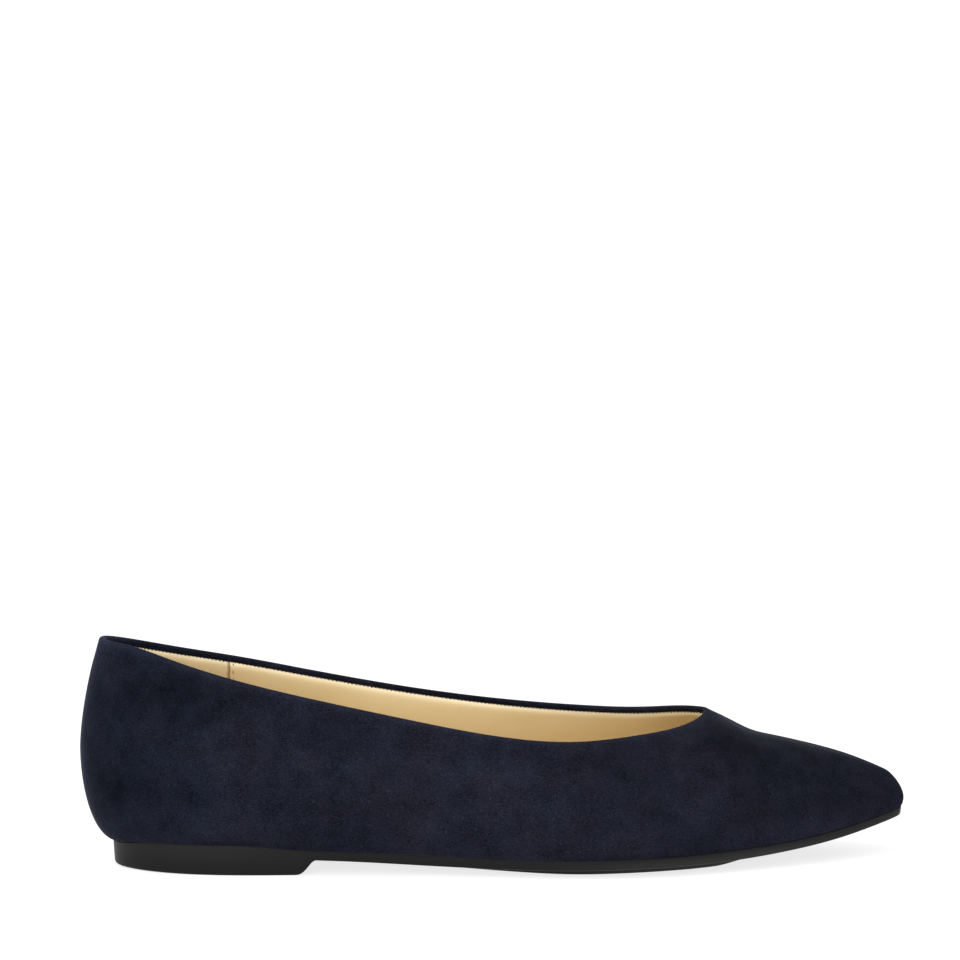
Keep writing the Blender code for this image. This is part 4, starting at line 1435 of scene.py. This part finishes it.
# %% [markdown]
# ## Suede finish
# Suede is leather with the fibres raised. It has no gloss, it is blotchy where the fibres lie different
# ways, and at a glancing angle the fibre tips catch the light, which is what the shader's sheen does. A
# picture of suede would need an unwrapped mesh and would repeat, so the finish is worked out from noises
# at each place on the shoe. First come the helpers it needs: one reads a number that was kept on the
# points, one takes a single axis of a place, one is a soft step, which on a noise keeps only the peaks,
# and one multiplies two colours.

# %% Marks, axes and soft steps
def mark(place, name):
    """A number that was kept on the points of a piece."""
    return place.node("ShaderNodeAttribute", {"attribute_name": name}, output="Fac")


def on_axis(place, axis):
    """One of the three numbers of a place."""
    return place.node("ShaderNodeSeparateXYZ", None, {"Vector": place}, output=axis)


def soft_step(value, start, end):
    """From 0 at start to 1 at end."""
    sockets = {"Value": value, "From Min": start, "From Max": end}
    return value.node("ShaderNodeMapRange", {"interpolation_type": "SMOOTHSTEP"}, sockets)


def multiplied(first, second):
    """One colour multiplied by another."""
    sockets = {MIX_SHARE: 1.0, MIX_FIRST: first, MIX_SECOND: second}
    settings = {"data_type": "RGBA", "blend_type": "MULTIPLY"}
    return first.node("ShaderNodeMix", settings, sockets, MIX_RESULT)


print("finish helpers ready")

# %% [markdown]
# The colour goes from a deep navy to a paler blue-grey. Its tone is the nap that was kept on the points,
# with its painted shade and painted highlight, plus soft clouds, patches, fibres and the brightest and
# darkest fibre tips, which show more where the nap stands up. Paler nap and a painted highlight lighten
# the collar's edge and roll, and painted shade with darker nap darkens the band inside the fold, less at
# the heel. A broad second noise turns the hue between teal and plum, and the heel is a little bluer than
# the rest. Fibres, tips and patches also push the bump.

# %% Suede
DEEP_NAVY, PALE_NAVY = (0.0024, 0.0028, 0.0055, 1), (0.0292, 0.0298, 0.0485, 1)
TEAL_CAST, PLUM_CAST = (0.86, 1.03, 1.12, 1), (1.10, 0.98, 0.98, 1)
TIP_PEAKS, HEELWARD_SPAN = (0.62, 0.78), (50, 115)

suede, suede_shader, place = new_finish(
    "navy_suede",
    Specular_IOR_Level=0.04,
    Sheen_Weight=0.07,
    Sheen_Roughness=0.3,
    Sheen_Tint=(0.62, 0.70, 0.90, 1.0),
)
clouds = noise(place, 0.05, 2.0)
patches = noise(place, 0.16, 3.0)
fibres = noise(place, 1.8, 1.0, stretch=(0.7, 1.0, 1.3))
tips = noise(place, 3.2, 0.0, stretch=(0.6, 1.0, 1.0))
edge, inside, nap = (mark(place, name) for name in ("edge", "inside", "nap"))
standing = 0.85 + nap * 1.3
# nap brings painted shade and painted highlight along with the nap's own rubs
tone = 0.48 + nap + (clouds - 0.5) * 0.35 + (patches - 0.5) * 0.8 + (fibres - 0.5) * standing
tone = tone + (soft_step(tips, *TIP_PEAKS) * 0.7 - soft_step(1 - tips, *TIP_PEAKS) * 0.45) * standing
# paler nap and a painted highlight on the collar's edge and roll, painted shade with darker nap on the band
tone = tone + edge * 0.3 - inside * 0.48
navy = blend(tone * 0.5, DEEP_NAVY, PALE_NAVY)
hue = noise(place, 0.06, 6.0, roughness=0.72)
heelward = soft_step(0 - on_axis(place, "X"), *HEELWARD_SPAN)
cast = blend((hue - 0.5) * 2.4 + 0.52 - heelward * 0.4, TEAL_CAST, PLUM_CAST)
multiplied(navy, cast).into(suede_shader, "Base Color")
(0.90 + (fibres - 0.5) * 0.2).into(suede_shader, "Roughness")
bump(fibres * 0.6 + tips * 0.4 + patches * 0.4, 0.45, 0.3).into(suede_shader, "Normal")
suede_upper.data.materials.append(suede)
print("suede nodes", len(suede.node_tree.nodes))

# %% [markdown]
# ## Leather finishes
# The lining is smooth dyed leather with a fine grain and a faint shine. The heel grip is the same hide
# with its rough side out, so it is duller, paler and fuzzier. The insole cover is the smooth one again, a
# little rubbed by the foot. One function makes all three, because they differ only in colour, shine and
# fuzz. Under the band a painted highlight makes the leather paler, most of all at the throat. At the seam
# it is dark: the dyed cut edge of the front part with painted shade in its crevice, and painted shade on
# the grip beside the lap.

# %% Leather
PAINTED_LIP_HIGHLIGHT, CUT_EDGE_AND_SHADE = (0.95, 0.86, 0.64, 1), (0.23, 0.14, 0.055, 1)


def leather(name, dark, pale, rough, grain, nap):
    made, shader, place = new_finish(name, Specular_IOR_Level=0.4)
    mottle = noise(place, 0.07, 3.0)
    pores = noise(place, 2.2, 3.0, roughness=0.6)
    hair = noise(place, 1.3, 2.0, stretch=(1.0, 1.0, 0.5))
    tone = 0.5 + (mottle - 0.5) * 0.6 + (pores - 0.5) * (0.25 + 0.3 * nap) + (hair - 0.5) * nap
    hide = blend(tone, (*dark, 1), (*pale, 1))
    # painted highlight where the lining turns up under the band
    hide = blend(mark(place, "stretch") * 0.9, hide, PAINTED_LIP_HIGHLIGHT)
    # dark at the seam: dyed cut edge of the front part and painted shade on the grip beside the lap
    blend(mark(place, "seam") * 0.9, hide, CUT_EDGE_AND_SHADE).into(shader, "Base Color")
    (rough + (pores - 0.5) * 0.2 + (mottle - 0.5) * 0.1).into(shader, "Roughness")
    bump(pores * (1 - 0.5 * nap) + hair * nap, grain, 0.12).into(shader, "Normal")
    return made


lining_leather = leather("beige_leather", (0.59, 0.44, 0.215), (0.71, 0.555, 0.305), 0.46, 0.22, 0.0)
grip_leather = leather("beige_grip", (0.57, 0.43, 0.215), (0.72, 0.58, 0.33), 0.75, 0.5, 1.0)
cover_leather = leather("beige_cover", (0.74, 0.60, 0.37), (0.85, 0.72, 0.48), 0.5, 0.25, 0.1)
lining.data.materials.append(lining_leather)
heel_grip.data.materials.append(grip_leather)
insole.data.materials.append(cover_leather)
print("leathers", [m.name for m in (lining_leather, grip_leather, cover_leather)])

# %% [markdown]
# ## Threads
# Thread is twisted, so a fine slanting wave runs over it and turns both its colour and its bump. Each
# strand could be modelled, but a stitch is only a few tenths of a millimetre thick, so the wave is
# enough.

# %% Threads
def thread(name, dark, pale):
    made, shader, place = new_finish(name, Specular_IOR_Level=0.3)
    twist = place.node(
        "ShaderNodeTexWave",
        {"wave_type": "BANDS", "bands_direction": "DIAGONAL"},
        {"Vector": place, "Scale": 1.6, "Distortion": 0.5},
        output="Fac",
    )
    blend(twist, (*dark, 1), (*pale, 1)).into(shader, "Base Color")
    (0.6 + twist * 0.15).into(shader, "Roughness")
    bump(twist, 0.5, 0.05).into(shader, "Normal")
    return made


band_stitches.data.materials.append(thread("navy_thread", (0.006, 0.006, 0.010), (0.014, 0.014, 0.020)))
lap_stitches.data.materials.append(thread("tan_thread", (0.30, 0.20, 0.09), (0.46, 0.32, 0.16)))
print("threads ready")

# %% [markdown]
# ## Rubber
# The rubber is nearly black, satin where the mould was smooth, with a sandy grain too fine to see as
# colour: it only breaks up the shine. A painted highlight makes it paler higher up its side, most of all
# on the sides of the heel, and another painted highlight lines the lower edge of the forepart. Random
# scuffs vary the grey. So the colour follows the height, the distance to the back, the painted highlight
# kept on the points and a noise.

# %% Rubber
BLACK, PALE_SCUFF_AND_HIGHLIGHT = (0.0030, 0.0030, 0.0029, 1), (0.0174, 0.0174, 0.0167, 1)
SIDE_HIGHLIGHT_HEIGHT, SIDE_HIGHLIGHT_BACK = (1, 9), (50, 105)

rubber, rubber_shader, place = new_finish("black_rubber", Specular_IOR_Level=0.16)
sand = noise(place, 3.0, 2.0)
scuff = noise(place, 0.12, 3.0)
heel = soft_step(0 - on_axis(place, "X"), *SIDE_HIGHLIGHT_BACK)
# painted highlight: paler higher up the side of the sole, most of all at the heel
scuff_and_highlight = 0.04 + soft_step(on_axis(place, "Z"), *SIDE_HIGHLIGHT_HEIGHT) * (0.25 + heel * 0.6)
# the painted highlight along the forepart's lower edge, and random scuffs
scuff_and_highlight = scuff_and_highlight + mark(place, "edge_highlight") * 1.7 + (scuff - 0.5) * 0.4
blend(scuff_and_highlight * 0.5, BLACK, PALE_SCUFF_AND_HIGHLIGHT).into(rubber_shader, "Base Color")
(0.5 + (scuff - 0.5) * 0.25 + (sand - 0.5) * 0.15).into(rubber_shader, "Roughness")
bump(sand, 0.25, 0.1).into(rubber_shader, "Normal")
outsole.data.materials.append(rubber)
print("rubber nodes", len(rubber.node_tree.nodes))

# %% [markdown]
# ## Finish
# The view layer is brought up to date at the end.

# %% Update
bpy.context.view_layer.update()
